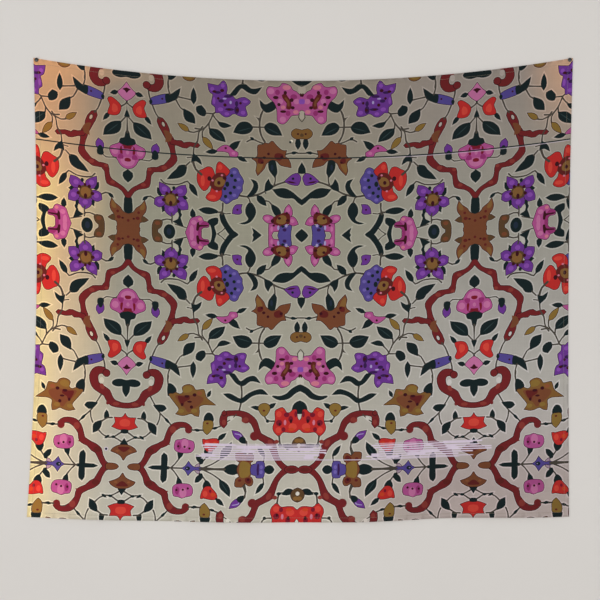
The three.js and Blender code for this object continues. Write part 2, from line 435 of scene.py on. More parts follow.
def draw_scroll_arch(art):
    """The dark red scroll that arches over the pink flower, with its knots and its side branch."""
    art.band("scroll", (1, 92, 13), (14, 109, 11), (28, 118, 11), (42, 124, 16), (53, 129, 19),
        (58, 142, 13), (60, 155, 12), (64, 168, 20), (72, 172, 13), (84, 173, 12), (98, 177, 18),
        (108, 182, 15), (120, 192, 19), (131, 206, 20), (130, 222, 13), (127, 238, 14), (125, 250, 20),
        (122, 261, 20), (113, 274, 17), (109, 286, 22), (102, 300, 24), (93, 315, 18))
    art.band("scroll", (126, 256, 14), (140, 253, 13), (151, 252, 17), (159, 247, 13), (167, 248, 16),
        (178, 252, 11), (190, 250, 11), (200, 250, 13))
    art.dots("scroll_light", (44, 127, 7, 5), (104, 180, 8, 6), (62, 172, 6, 5))
    art.mark("brown", (tip(108, 252), 124, 258, tip(128, 274), 118, 284, 103, 286, 108, 270))
    art.dots("wine", (103, 303, 6, 9, 25))
    art.dots("halo", (103, 303, 4, 7, 25))


def draw_arch_flower(art):
    """The pink rose under the arch, its side buds, calyx, leaves and the two red hearts."""
    art.leaves("leaf", (0, 166, -1, 130, 30))
    art.shape("pink", (-20, 170, 6, 170, 16, 174, 24, 182, 30, 193, 38, 198, 46, 204, 51, 218, 48, 228,
        38, 233, 26, 238, 16, 243, -20, 243))
    art.mark("pink_light", (-20, 176, 6, 176, 18, 184, 20, 196, 8, 200, -20, 200))
    art.mark("wine_red", (-20, 189, 6, 189, 9, 194, 4, 199, -20, 199), (14, 210, 20, 209, 22, 218, 20, 230,
        12, 232, 10, 224, -6, 226, -20, 226, -20, 236, 4, 238, 16, 234))
    art.mark("rose", (12, 196, 28, 196, 26, 206, 16, 210))
    art.dots("pink_light", (36, 216, 10, 10), (-3, 214, 8, 7))
    art.stem(3, (32, 197, 44, 197, 62, 196, 72, 203))
    art.leaves("purple", (74, 206, 83, 246, 23, 0.6))
    art.mark("leaf", (68, 206, 74, 200, 86, 202, 88, 214, 82, 226, 74, 226))
    art.shape("leaf", (-20, 236, 19, 238, 22, 246, 18, 253, 8, 256, 2, 276, -20, 276))
    art.stem(4, (1, 270, 0, 296, -1, 318), (20, 297, 8, 310, -1, 320))
    art.shape("leaf", (18, 298, 21, 276, 37, 264, tip(68, 258), 63, 279, 46, 295, 27, 300))
    art.veins("leaf_vein", (24, 294, 60, 264, 2.5))
    art.shape("leaf", (-20, 316, tip(7, 316), 3, 328, tip(0, 334), -20, 325))
    art.stem(4, (-1, 333, -2, 356), (17, 342, 6, 349, -1, 356))
    art.leaves("leaf", (50, 322, 68, 300, 11))
    art.shape("red", (17, 336, 25, 320, 42, 316, 55, 320, 51, 334, 48, 344, 54, 360, 45, 366, 29, 357,
        19, 347))
    art.mark("red_light", (27, 328, 40, 324, 43, 337, 38, 349, 27, 341))
    art.discs("leaf", (-3, 360, 5.5))


def draw_diamond_and_trefoil(art):
    """The pink diamond with its seeds, and the dark three-lobed leaf below it."""
    art.shape("pink_light", (tip(0, 360), 13, 368, tip(27, 383), 13, 395, tip(0, 412), -16, 393, -17, 372))
    art.mark("wine", (-12, 392, -5, 389, 0, 382, 6, 389, 12, 392, 0, 397, -12, 396))
    art.leaves("leaf", (25, 383, 46, 377, 12))
    art.discs("leaf", (20, 435, 20, 10, 4))
    art.shape("leaf", (-15, 428, 0, 428, 11, 428, 10, 446, 9, 459, tip(1, 473), -14, 460))


def draw_purple_bar(art):
    """The purple bar bud across the scroll's stem, with its dark tail and long leaf."""
    art.stem(4, (93, 317, 83, 330, 76, 346, 68, 367, 63, 386, 61, 409))
    art.shape("violet", (tip(66, 358), 78, 357, 115, 366, 119, 379, 112, 389, 78, 379, tip(67, 372)))
    art.dots("wine", (101, 375, 3))
    art.shape("leaf", (113, 366, 129, 371, 143, 379, 149, 394, tip(152, 408), 140, 400, 126, 390, 111, 389))
    art.dots("leaf", (68, 364, 5, 7))
    art.stem(4, (140, 375, 152, 354, 164, 346))
    art.shape("leaf", (tip(162, 351), 161, 335, 169, 318, tip(193, 312), 192, 327, 185, 340))
    art.stem(4, (146, 384, 166, 381, 184, 378))
    art.leaves("leaf", (190, 367, 190, 412, 15))
    art.stem(4, (123, 389, 118, 406, 118, 424, 120, 437))
    art.leaves("stem", (119, 402, 118, 425, 6))


def draw_lyre(art):
    """The lower half of the scroll: a hooked bulb, a pale eye and the band across the bottom."""
    art.band("scroll", (58, 410, 14), (68, 403, 18), (84, 405, 22), (93, 420, 24), (88, 443, 22),
        (74, 454, 22), (55, 465, 22), (48, 478, 20), (36, 492, 19), (13, 498, 14), (-2, 499, 14))
    art.discs("scroll", (57, 410, 10))
    art.mark("scroll", (43, 460, 55, 460, 53, 476, 55, 497, 45, 496, 42, 480))
    art.dots("halo", (70, 431, 7, 9))
    art.dots("scroll_light", (68, 448, 6, 9, 30), (27, 495, 10, 5))


def draw_wild_star(art):
    """The five-petalled purple star flower with dark sepals, and the tendrils beside it."""
    art.stem(4, (45, 85, 53, 94, 64, 96, 78, 89))
    art.leaves("leaf", (42, 84, 57, 96, 8))
    art.shape("leaf", (tip(98, 55), 106, 60, 114, 74, 106, 84, 98, 74), (tip(150, 53), 149, 66, 138, 74,
        134, 66), (tip(170, 98), 160, 104, 146, 104, 148, 94, 162, 93), (92, 100, 100, 108, 96, 118,
        tip(84, 122), 84, 108))
    for petal in (
            (103, 66, 110, 52, tip(123, 44), 136, 52, 143, 66, 138, 82, 108, 82),
            (140, 78, 150, 64, tip(171, 66), 171, 80, 162, 96, 146, 100),
            (134, 104, 156, 102, 168, 116, tip(164, 134), 146, 130, 126, 114),
            (98, 104, 120, 106, 120, 122, 106, 132, tip(90, 138), 90, 118),
            (106, 96, 92, 98, 78, 92, tip(75, 75), 90, 68, 106, 78)):
        art.shape("purple", petal)
        art.dots("purple_light", (*np.mean(pairs(petal), axis=0), 8, 7))
    art.dots("leaf", (100, 66, 5, 6), (146, 62, 5, 6), (163, 99, 5, 6), (131, 124, 5, 6), (90, 107, 5, 6))
    art.mark("umber", (104, 80, 113, 73, 132, 73, 142, 82, 139, 98, 132, 109, 114, 109, 102, 98))
    art.mark("tan", (109, 82, 120, 77, 133, 81, 136, 92, 131, 103, 117, 105, 107, 96))
    art.dots("wine", (122, 80, 5, 8), (102, 89, 6, 5), (143, 87, 5, 5), (139, 105, 5, 5), (111, 108, 5, 5),
        (123, 112, 4, 5))
    art.stem(4, (94, 146, 102, 138, 118, 134, 146, 136, 170, 146, 178, 138))
    art.leaves("leaf", (176, 140, 198, 106, 15))
    art.shape("leaf", (tip(113, 149), 134, 152, 151, 157, 164, 168, 167, 190, 147, 189, 139, 178, 127, 167))
    art.stem(4, (165, 189, 178, 202))


def draw_capsule(art):
    """The umber two-lobed capsule, the dark disc beside it and the calyx of the side flower."""
    art.shape("umber", (70, -6, 69, 14, 74, 28, 82, 31, 96, 30, 97, 20, 92, 10, 84, 4, 84, -6))
    art.dots("brown", (84, 22, 8, 6))
    art.stem(4, (97, 31, 110, 35, 123, 34, 126, 24), (125, 30, 126, 44, 124, 52))
    art.discs("leaf", (118, -1, 16, 21))
    art.dots("leaf_blue", (117, 0, 7, 10))
    art.stem(3, (134, 22, 148, 18, 166, 14))
    art.shape("leaf", (tip(129, 29), 143, 22, tip(157, 18), 152, 32, 149, 42, 153, 50, tip(142, 66), 144, 52,
        144, 38))
    art.mark("halo", (131, 36, 140, 36, 145, 46, 142, 56, 134, 50))
    art.leaves("leaf", (186, 41, 184, 68, 15))


def draw_side_flower(art):
    """The pink flower lying on its side across the upper mirror line, with the dark lattice."""
    art.shape("pink", (166, -6, 168, 10, 173, 24, 178, 38, 184, 43, 194, 46, 204, 49, 212, 44, 216, 35,
        224, 33, tip(231, 28), 231, 20, 224, 17, 216, 17, 209, 10, 206, -6))
    art.mark("rose", (200, -4, 207, -4, 210, 10, 216, 17, 230, 21, 230, 28, 216, 34, 206, 24, 200, 12))
    art.mark("wine", (195, 8, 202, 8, 205, 18, 228, 20, 228, 24, 204, 24, 203, 32, 197, 28))
    art.dots("pink_light", (182, 8, 6, 14), (188, 30, 8, 7))
    art.dots("rose_light", (206, 40, 6, 5))
    art.shape("leaf", (tip(241, -6), 240, 10, 236, 24, 228, 34, 238, 42, 256, 45, 256, 30, 246, 22, 250, 8,
        252, -6))
    art.stem(3, (256, 0, 268, -7, 282, -20), (256, 0, 268, 8, 282, 22), (282, -22, 296, 0, 282, 22))
    art.band("leaf", (312, 0, 6), (298, 3, 16), (283, 22, 14), (273, 39, 15), (268, 56, 12))
    art.band("leaf", (310, 0, 4), (298, -4, 12), (289, -12, 8))
    art.stem(5, (268, 56, 271, 74, 271, 88))
    art.shape("leaf", (tip(203, 67), 216, 59, 232, 56, 248, 59, 259, 62, 248, 70, 232, 74, 216, 73))
    art.stem(5, (268, 62, 258, 62))
    art.stem(3, (270, 61, 280, 58, 293, 60))


def draw_small_bits(art):
    """The purple bud, the dark triangle and the curling leaf beside the butterfly flower."""
    art.shape("purple", (tip(299, 60), 315, 58, 325, 63, 323, 75, tip(326, 86), 310, 85, 301, 74))
    art.dots("wine", (313, 71, 3))
    art.shape("leaf", (tip(320, 32), 334, 31, 351, 39, 364, 59, 363, 77, 350, 93, 338, 79, 337, 61, 345, 46,
        337, 37))
    art.stem(4, (350, 92, 346, 104, 339, 110))
    art.shape("leaf", (356, -4, tip(380, 1), 366, 12, tip(356, 19), 360, 6))


def draw_butterfly(art):
    """The pink star flower that is joined to its mirror image by a violet block and a pink bar."""
    art.shape("leaf", (421, 58, 430, 58, 437, 64, 430, 78, tip(410, 90), 412, 76))
    art.shape("pink", (403, -4, 410, -2, 416, 11, 432, 12, 436, 28, 418, 38, 404, 35), (406, 34, 393, 39,
        386, 49, 391, 57, 404, 58, 418, 51, 420, 40), (462, 32, 474, 28, tip(487, 33), 481, 46, 472, 54,
        462, 53, 456, 42), (446, 62, 450, 78, tip(460, 89), 468, 78, 470, 60, 460, 52, 450, 54))
    art.shape("violet", (430, -6, 432, 10, 435, 24, 444, 31, 456, 28, 464, 30, 468, 25, 466, 12, 462, -6))
    art.dots("pink_light", (398, 48, 8, 6), (470, 42, 7, 6), (458, 74, 6, 8), (411, 18, 4, 8))
    art.mark("brown_red", (414, 34, 430, 28, 446, 30, 462, 34, 464, 46, 462, 62, 446, 66, 434, 60, 422, 56,
        412, 46))
    art.mark("tan", (424, 38, 436, 32, 448, 34, 454, 44, 450, 56, 438, 58, 428, 50))
    art.dots("wine", (413, 41, 5, 6), (417, 28, 4, 3), (457, 43, 6, 4), (454, 64, 4, 4), (433, 49, 5, 4))
    art.dots("purple_dark", (448, 16, 6, 5))
    art.dots("leaf", (443, 26, 5, 4))
    art.dots("lavender", (430, 22, 3.5, 7), (453, 28, 4, 5))
    art.shape("leaf", (tip(497, 18), 488, 11, 479, 0, 484, -8, 510, -8, 510, 18))
    art.stem(4, (411, 88, 403, 97, 392, 99))


def draw_garland(art):
    """The leafy stem that runs from the red and violet flower to the centre line."""
    art.stem(5, (319, 112, 342, 109, 369, 115, 389, 124, 416, 141, 438, 150, 455, 155))
    art.leaves("leaf", (369, 113, 395, 85, 18))
    art.shape("leaf", (tip(341, 110), 353, 111, 366, 122, 372, 137, 367, 153, tip(352, 159), 360, 145,
        355, 129), (tip(391, 126), 405, 130, 416, 139, 408, 147, tip(402, 160), 394, 148), (tip(414, 131),
        430, 113, 452, 107, 473, 107, 486, 95, tip(498, 87), 498, 100, 484, 112, 467, 126, 445, 135))
    art.shape("purple", (tip(448, 155), 464, 147, 485, 144, 491, 153, 494, 166, 485, 178, 468, 173))
    art.dots("leaf", (472, 163, 4))
    art.veins("wine", (453, 155, 483, 150, 5))
    art.shape("leaf", (512, 177, tip(487, 179), 488, 192, tip(498, 210), 513, 191))
    art.stem(4, (417, 141, 421, 156, 421, 173))


def draw_two_colour_flower(art):
    """The large flower with three red petals on one side and a scalloped violet half on the other."""
    art.shape("violet", (262, 100, 272, 94, 281, 87, 290, 91, 300, 99, 313, 104, 319, 116, 327, 126,
        327, 140, 331, 152, 326, 164, 319, 174, 314, 186, 305, 191, 295, 187, 288, 178, 280, 160, 276, 140,
        266, 120))
    art.dots("violet_light", (304, 112, 6, 5), (317, 134, 6, 5), (316, 158, 6, 5), (305, 178, 6, 5),
        (284, 98, 6, 5))
    art.shape("red", (223, 102, 231, 95, 246, 92, 260, 98, 268, 112, 266, 130, 252, 138, 240, 134, 236, 120,
        228, 112), (199, 146, 206, 132, 216, 122, 226, 126, 234, 138, 246, 146, 250, 160, 246, 176, 240, 188,
        228, 190, 214, 182, 202, 176, 198, 162), (252, 172, 260, 166, 280, 166, 291, 180, 282, 192, 270, 202,
        262, 206, 255, 198))
    art.mark("brown_red", (240, 130, 254, 122, 268, 126, 276, 142, 282, 160, 276, 174, 256, 174, 242, 162,
        234, 142))
    art.mark("tan", (248, 138, 262, 134, 274, 140, 278, 152, 270, 162, 256, 160, 248, 150))
    art.dots("red_light", (214, 150, 6, 16), (240, 105, 12, 6), (264, 191, 7, 8))
    art.dots("wine", (233, 157, 6, 7), (260, 146, 5, 6), (277, 160, 6, 5))
    art.dots("leaf", (279, 108, 5), (293, 118, 5), (277, 130, 5), (304, 135, 5), (307, 155, 5),
        (297, 168, 5), (284, 143, 6, 8))
    art.dots("rose_light", (254, 122, 3.5, 3), (242, 152, 3.5, 3), (269, 168, 3.5, 3))


def draw_eared_flower(art):
    """The brown flower with two pointed ears, and the tendril that joins it to its mirror image."""
    art.stem(4, (446, 231, 464, 236, 478, 238, 486, 236, 505, 236))
    art.leaves("leaf", (466, 236, 484, 238, 7))
    art.shape("brown", (tip(371, 171), 380, 180, 390, 192, 396, 206, 410, 214, 424, 214, 436, 202, 450, 198,
        tip(466, 195), 464, 208, 456, 222, 449, 226, tip(453, 243), 440, 244, 424, 258, 416, 268, 410, 269,
        402, 262, 392, 264, 384, 259, 372, 257, 371, 240, 370, 225, tip(356, 218), 366, 211, 369, 200,
        366, 184))
    art.mark("tan", (368, 186, 372, 178, 382, 190, 386, 204, 376, 206, 369, 200))
    art.shape("leaf", (tip(419, 167), 426, 178, 424, 200, 420, 214, 408, 214, 402, 206, 404, 188, 412, 176))
    art.dots("leaf_blue", (412, 194, 4, 9))
    art.mark("brown_red", (373, 206, 386, 204, 388, 214, 380, 220, 372, 218), (420, 220, 434, 214, 442, 222,
        444, 232, 430, 236, 420, 232))
    art.dots("wine", (390, 222, 5, 4), (402, 233, 4, 4), (440, 224, 5, 5), (384, 208, 4, 3))
    art.stem(4, (388, 262, 372, 268, 356, 274, 340, 266))
    art.leaves("leaf", (360, 272, 351, 279, 7))
    art.shape("leaf", (tip(291, 241), 303, 242, 313, 250, 319, 264, tip(322, 268), 306, 264, 292, 254))
    art.shape("pink", (tip(252, 236), 276, 236, 289, 232, 293, 222, tip(313, 222), 315, 234, 300, 242,
        289, 252, 276, 254, 262, 246))
    art.dots("wine", (280, 246, 3.5))
    art.dots("pink_light", (302, 232, 6, 5))
    art.leaves("leaf", (256, 236, 224, 232, 12), (313, 223, 340, 210, 11))


def draw_centre_seed(art):
    """The small ochre seed on the centre line, with two dark leaves standing on it."""
    art.leaves("leaf", (486, 281, 486, 247, 15, 0.5))
    art.shape("maple", (518, 277, 496, 278, 481, 277, 469, 285, 468, 297, 480, 306, 496, 302, 518, 301))
    art.mark("umber", (492, 284, 518, 283, 518, 295, 497, 294))
    art.dots("wine", (486, 291, 3))


def draw_twig_leaves(art):
    """The upright twig below the eared flower with two broad leaves and a thorn."""
    art.stem(5, (392, 267, 383, 282, 378, 300, 377, 322, 381, 344, 386, 356))
    art.stem(4, (356, 309, 390, 309))
    art.shape("leaf", (tip(303, 292), 328, 288, 348, 293, 357, 308, 343, 322, 323, 321, 311, 309),
        (tip(440, 287), 412, 288, 396, 297, 391, 311, 405, 322, 424, 316, 434, 301))
    art.shape("stem", (tip(365, 339), 373, 330, 377, 319, 380, 330, tip(382, 341), 376, 335))
    art.veins("leaf_vein", (313, 295, 355, 307, 2.5), (434, 289, 394, 309, 2.5))


def draw_forked_twig(art):
    """The forked twig with an ochre bud, a leaf each way and the purple flower's stalk."""
    art.stem(4, (193, 298, 215, 297, 230, 311, 238, 325, 246, 343, 255, 349), (215, 272, 214, 290, 230, 311),
        (234, 299, 233, 314, 238, 326), (260, 320, 252, 328, 244, 339), (246, 342, 227, 343, 208, 342))
    art.shape("leaf", (tip(234, 300), 236, 283, 252, 270, tip(279, 264), 273, 283, 258, 297))
    art.veins("leaf_vein", (237, 297, 275, 267, 2.5))
    art.shape("leaf", (tip(258, 320), 265, 308, 277, 304, tip(296, 310), 279, 317))
    art.leaves("ochre", (215, 274, 243, 242, 17))
    art.shape("leaf", (208, 337, 221, 335, 224, 349, tip(212, 364), 198, 359, 199, 345))
    art.stem(4, (188, 225, 190, 246, 200, 262, 204, 287, 215, 304))
    art.shape("leaf", (tip(182, 201), 195, 205, tip(211, 196), 205, 212, tip(188, 226), 184, 214))
    art.stem(3, (170, 213, 177, 214, 185, 216))
    art.stem(6, (211, 167, 194, 182, 187, 201))
    art.leaves("ochre", (176, 289, 145, 309, 15))
    art.stem(4, (174, 289, 189, 286, 212, 295))


def draw_purple_cluster(art):
    """The large purple cluster flower with dark folds and a few lit spots."""
    art.shape("purple", (252, 346, 262, 347, 270, 340, 280, 335, 291, 337, 300, 344, 309, 345, 318, 340,
        334, 338, 342, 344, 338, 358, 337, 367, 345, 373, 351, 381, 344, 388, 333, 393, 320, 390, 310, 386,
        303, 393, 294, 399, 283, 400, 285, 412, 284, 426, 276, 438, 268, 432, 261, 424, 250, 425,
        tip(231, 428), 233, 412, 238, 402, 245, 398, 243, 386, 241, 370, 251, 362))
    art.dots("purple_light", (330, 349, 7, 6), (336, 381, 8, 4), (248, 380, 4, 10), (266, 356, 8, 6),
        (243, 413, 6, 6), (273, 424, 6, 6), (284, 344, 7, 5))
    art.dots("purple_dark", (292, 357, 13, 4), (312, 356, 7, 11), (268, 380, 8, 5), (312, 374, 5, 8),
        (258, 404, 10, 4), (288, 394, 12, 4))
    art.dots("wine", (279, 369, 5, 5), (314, 356, 5, 5), (260, 387, 4, 4), (323, 376, 4, 4),
        (249, 406, 6, 4), (271, 410, 6, 5), (290, 356, 6, 3))
    art.dots("lavender", (295, 377, 3.5, 5), (278, 387, 6, 2.5))


def draw_double_rose(art):
    """The large pink double flower on the centre line, with its wing leaf and moustache leaf."""
    art.shape("leaf", (tip(378, 386), 382, 366, 396, 352, 412, 356, 424, 366, 426, 376, 416, 384, 404, 378,
        392, 374))
    art.shape("pink", (427, 340, 428, 327, 438, 320, 448, 321, 458, 331, 467, 343, 480, 345, 489, 347,
        492, 358, 510, 366, 510, 402, 490, 404, 482, 412, 471, 417, 466, 427, 456, 433, 442, 436, 434, 426,
        420, 424, 404, 426, 397, 416, 398, 404, 404, 394, 413, 386, 421, 376, 426, 360))
    art.dots("pink_light", (443, 332, 9, 9), (436, 384, 8, 8), (409, 413, 10, 9))
    art.dots("rose_light", (444, 367, 7, 6), (454, 424, 12, 7))
    art.dots("rose", (474, 397, 10, 8))
    art.dots("pink_light", (482, 384, 9, 8))
    art.dots("rose_light", (480, 354, 8, 6))
    art.dots("rose", (428, 410, 7, 8), (458, 350, 7, 8))
    art.dots("purple_light", (494, 384, 6, 8))
    art.mark("brown_red", (452, 364, 463, 361, 468, 370, 465, 386, 457, 398, 451, 406, 440, 402, 446, 388,
        454, 378))
    art.mark("brown", (456, 372, 462, 370, 461, 384, 452, 396, 448, 392, 455, 382))
    art.dots("wine", (444, 355, 9, 4), (471, 366, 6, 5), (432, 375, 5, 5), (468, 388, 6, 6),
        (423, 395, 8, 5), (450, 409, 5, 6), (495, 403, 4, 6))
    art.mark("halo", (488, 349, 492, 356, 510, 360, 510, 336, 492, 334))
    art.stroke("stem", (497, 326, 2), (488, 338, 3), (490, 352, 2))
    art.shape("halo", (510, 404, 497, 405, 489, 418, 494, 428, 510, 428))
    art.band("leaf", (510, 434, 17), (495, 437, 17), (478, 446, 16), (462, 460, 15), (440, 466, 11),
        (420, 461, 3))


def draw_winged_stem(art):
    """The stem of paired wing leaves that stands on the red scroll."""
    art.stem(5, (328, 427, 331, 449, 330, 474, 327, 492, 324, 506))
    art.shape("leaf", (tip(293, 398), 308, 398, 321, 415, 329, 419, 345, 408, 366, 404, tip(383, 423),
        370, 419, 354, 418, 338, 430, 328, 431, 313, 423), (tip(279, 456), 297, 455, 314, 463, 329, 469,
        349, 454, 371, 444, 389, 442, tip(405, 456), 378, 455, 358, 462, 339, 477, 329, 480, 309, 475,
        291, 466))


def draw_ochre_bud(art):
    """The round ochre bud with two dark ears beside the red double flower."""
    art.stem(4, (397, 518, 406, 531, 425, 532))
    art.discs("leaf", (406, 532, 4))
    art.shape("leaf", (tip(358, 492), 370, 489, 381, 492, 383, 501, 372, 499), (407, 491, 415, 483,
        tip(428, 481), 421, 493, 410, 496))
    art.shape("ochre", (379, 496, 384, 485, 397, 481, 409, 486, 412, 498, 405, 512, 397, 518, 388, 513))
    art.dots("brown_red", (395, 502, 4, 3))


def draw_red_double(art):
    """The big red double flower on the centre line under its dark dome."""
    art.shape("leaf", (510, 474, 496, 474, 482, 482, 476, 496, 480, 508, 510, 508))
    art.shape("red", (427, 505, 434, 498, 447, 493, 455, 500, 460, 508, 470, 507, 478, 499, 488, 500,
        490, 516, 494, 528, 510, 530, 510, 552, 495, 556, 486, 564, 470, 565, 454, 563, 446, 568,
        tip(440, 577), 430, 568, 424, 560, 422, 548, 428, 530))
    art.dots("red_light", (438, 512, 8, 9), (438, 558, 9, 9), (478, 548, 12, 10))
    art.dots("wine_red", (460, 514, 8, 7), (472, 526, 7, 9), (439, 537, 9, 9), (452, 556, 6, 7),
        (486, 512, 4, 9))
    art.dots("red_orange", (474, 556, 9, 5), (446, 500, 5, 4))
    art.dots("wine", (473, 532, 4, 6), (441, 541, 3.5, 5))
    art.dots("rose_light", (456, 536, 4, 8))
    art.mark("halo", (496, 512, 510, 512, 510, 530, 496, 528))
    art.stem(5, (440, 574, 442, 590, 444, 602))
    art.stem(4, (446, 603, 456, 605, 466, 606))
    art.discs("leaf", (444, 602, 6, 4))


def draw_shield(art):
    """The umber disc between two dark leaves on the lower part of the centre line."""
    art.shape("leaf", (tip(453, 600), 466, 598, 480, 602, 484, 612, 470, 616, 460, 610))
    art.shape("umber", (510, 579, 496, 578, 484, 584, 478, 596, 482, 610, 496, 618, 510, 618))
    art.dots("tan", (492, 588, 8, 6))
    art.dots("halo", (497, 602, 6))


def draw_lower_scroll(art):
    """The dark red scroll that crosses its mirror image on the centre line near the bottom."""
    art.band("scroll", (281, 543, 20), (280, 528, 20), (286, 514, 16), (305, 510, 13), (328, 511, 15),
        (347, 519, 20), (366, 534, 18), (375, 554, 15), (382, 573, 18), (400, 584, 18), (417, 596, 24),
        (425, 613, 18), (435, 639, 14), (448, 657, 14), (463, 669, 16), (476, 672, 22), (492, 674, 16))
    art.leaves("scroll", (282, 518, 282, 503, 14))
    art.dots("scroll", (345, 527, 13, 12), (370, 575, 13))
    art.dots("scroll_light", (344, 528, 8, 7), (416, 595, 7, 11, -30), (282, 537, 6, 8))
    art.discs("scroll", (478, 672, 20, 12))
    art.dots("brown_red", (478, 672, 15, 7))
    art.stem(3, (291, 535, 307, 524, 317, 513))
    art.dots("halo", (303, 524, 5, 7, 40))
    art.stem(4, (251, 556, 260, 553, 273, 548))
    art.leaves("leaf", (251, 556, 265, 552, 6))


def draw_lamp_bud(art):
    """The purple bud with a dark cap that hangs inside the lower scroll, and its leaf."""
    art.shape("purple", (tip(306, 560), 326, 564, 337, 575, 341, 584, 326, 587, 312, 576))
    art.stroke("lavender", (314, 569, 2), (330, 572, 3), (336, 582, 2))
    art.shape("leaf", (326, 587, 334, 577, 343, 581, tip(348, 596), 335, 595))
    art.stem(4, (347, 594, 351, 609, 347, 624, 342, 642))


def draw_bow_flower(art):
    """The brown bow-shaped flower on the lower mirror line, with its violet block and dark knobs."""
    art.stem(4, (400, 628, 399, 640, 397, 652))
    art.shape("leaf", (tip(379, 603), 388, 608, 398, 620, tip(400, 632), 392, 630, 383, 618), (285, 676,
        tip(286, 668), 296, 660, 312, 656, 324, 660, 328, 671, 324, 682))
    art.shape("brown", (319, 624, 330, 621, 342, 622, 346, 632, 357, 625, 366, 626, 370, 636, 366, 648,
        361, 652, 364, 680, 326, 680, 326, 660, 331, 650, 321, 644))
    art.mark("ochre", (333, 650, 346, 648, 360, 656, 360, 680, 332, 680))
    art.mark("brown_red", (348, 636, 360, 630, 366, 640, 358, 648, 348, 646))
    art.dots("brown_red", (332, 640, 5, 4))
    art.dots("wine", (356, 642, 4))
    art.dots("halo", (322, 653, 6, 5))
    art.shape("violet", (365, 676, 365, 658, 377, 654, 379, 648, 397, 648, 401, 660, 401, 676))
    art.stroke("purple_dark", (383, 656, 5), (382, 676, 7))
    art.dots("violet_light", (392, 664, 5, 6))
    art.shape("leaf", (402, 676, 404, 664, 414, 659, 424, 663, 428, 676))
    art.stem(4, (342, 624, 349, 606, 348, 590))


def draw_lower_spray(art):
    """The fan of stems on the lower mirror line, with the red tulip, leaves and buds on it."""
    art.stem(7, (196, 671, 214, 670, 230, 670, 258, 671, 288, 671))
    art.stem(4, (236, 636, 226, 650, 206, 668), (278, 640, 254, 656, 228, 668))
    art.shape("leaf", (tip(305, 594), 306, 610, 300, 625, 290, 634, tip(275, 642), 277, 620, 290, 606))
    art.veins("leaf_vein", (280, 634, 302, 602, 2.5))
    art.shape("leaf", (230, 616, 251, 618, 248, 630, 238, 638, 231, 630))
    art.shape("red", (223, 587, 232, 588, 246, 585, 262, 584, 270, 590, 267, 602, 256, 614, 249, 621,
        236, 620, 227, 608))
    art.dots("red_light", (236, 600, 7, 9))
    art.dots("red_orange", (258, 598, 7, 6))
    art.dots("wine_red", (250, 608, 4, 5))
    art.leaves("leaf", (266, 588, 289, 568, 12))
    art.shape("leaf", (tip(206, 632), 216, 634, 226, 646, tip(223, 656), 212, 650, 207, 642))
    art.shape("mauve", (202, 676, 206, 662, 216, 657, 216, 668, 212, 676))


def draw_ochre_lamp(art):
    """The hanging ochre bud with a dark cap beside the lower scroll."""
    art.shape("leaf", (235, 511, 246, 514, 252, 527, 249, 535, 227, 536, 226, 523))
    art.shape("ochre", (225, 535, 238, 533, 250, 535, 251, 551, 243, 565, tip(235, 573), 224, 563, 223, 545))
    art.dots("brown_red", (235, 541, 4, 3))
    art.stem(4, (199, 560, 213, 560, 224, 561))


def draw_maple_flower(art):
    """The ochre and brown five-pointed flower below the purple bar, with its dark cap."""
    art.shape("leaf", (119, 436, 124, 431, 134, 436, 142, 446, 142, 456, 130, 464, tip(120, 466), 118, 452))
    art.shape("maple", (122, 462, 134, 460, 142, 456, 152, 460, 160, 458, 163, 452, 160, 442, 167, 435,
        180, 432, 192, 437, 198, 447, 210, 446, 222, 445, 226, 456, 230, 468, 240, 476, tip(257, 488),
        240, 488, 224, 488, 210, 494, 211, 508, tip(209, 522), 198, 520, 188, 514, 176, 518, 162, 521,
        tip(144, 517), 152, 506, 150, 498, 140, 486))
    art.mark("brown", (140, 466, 158, 462, 180, 462, 204, 462, 222, 470, 214, 486, 196, 500, 180, 512,
        168, 498, 156, 490))
    art.mark("brown_red", (148, 466, 166, 466, 180, 462, 182, 474, 168, 482, 164, 494, 154, 484))
    art.dots("wine", (174, 466, 7, 4), (196, 461, 6, 5), (182, 481, 7, 3), (188, 496, 5, 5),
        (161, 490, 4, 5))
    art.mark("ochre", (162, 452, 164, 442, 172, 437, 184, 438, 190, 446, 182, 454, 168, 456))
    art.dots("ochre", (158, 508, 9, 6))
    art.dots("brown_light", (210, 456, 8, 6))
    art.dots("ochre", (196, 506, 9, 6))
    art.leaves("leaf", (233, 466, 242, 448, 9))


def draw_vine(art):
    """The thin forked vine between the lyre and the lower scroll, with its leaves."""
    art.stem(4, (70, 471, 78, 485, 89, 503, 99, 517, 119, 536, 134, 552))
    art.leaves("leaf", (112, 529, 127, 545, 6))
    art.stem(4, (99, 517, 97, 535, 91, 550))
    art.shape("leaf", (tip(80, 495), 96, 493, 110, 495, tip(116, 503), 104, 512, 91, 508), (tip(65, 543),
        78, 547, 89, 556, tip(89, 578), 76, 572, 68, 560), (46, 535, 48, 521, tip(53, 514), 58, 522,
        58, 536))
    art.stem(4, (36, 534, 50, 535, 65, 545), (74, 570, 62, 582, 49, 589, 30, 588, 15, 578, 2, 571), (31, 588,
        19, 594, 7, 601))
    art.leaves("leaf", (55, 592, 43, 584, 6), (26, 587, 38, 589, 6))


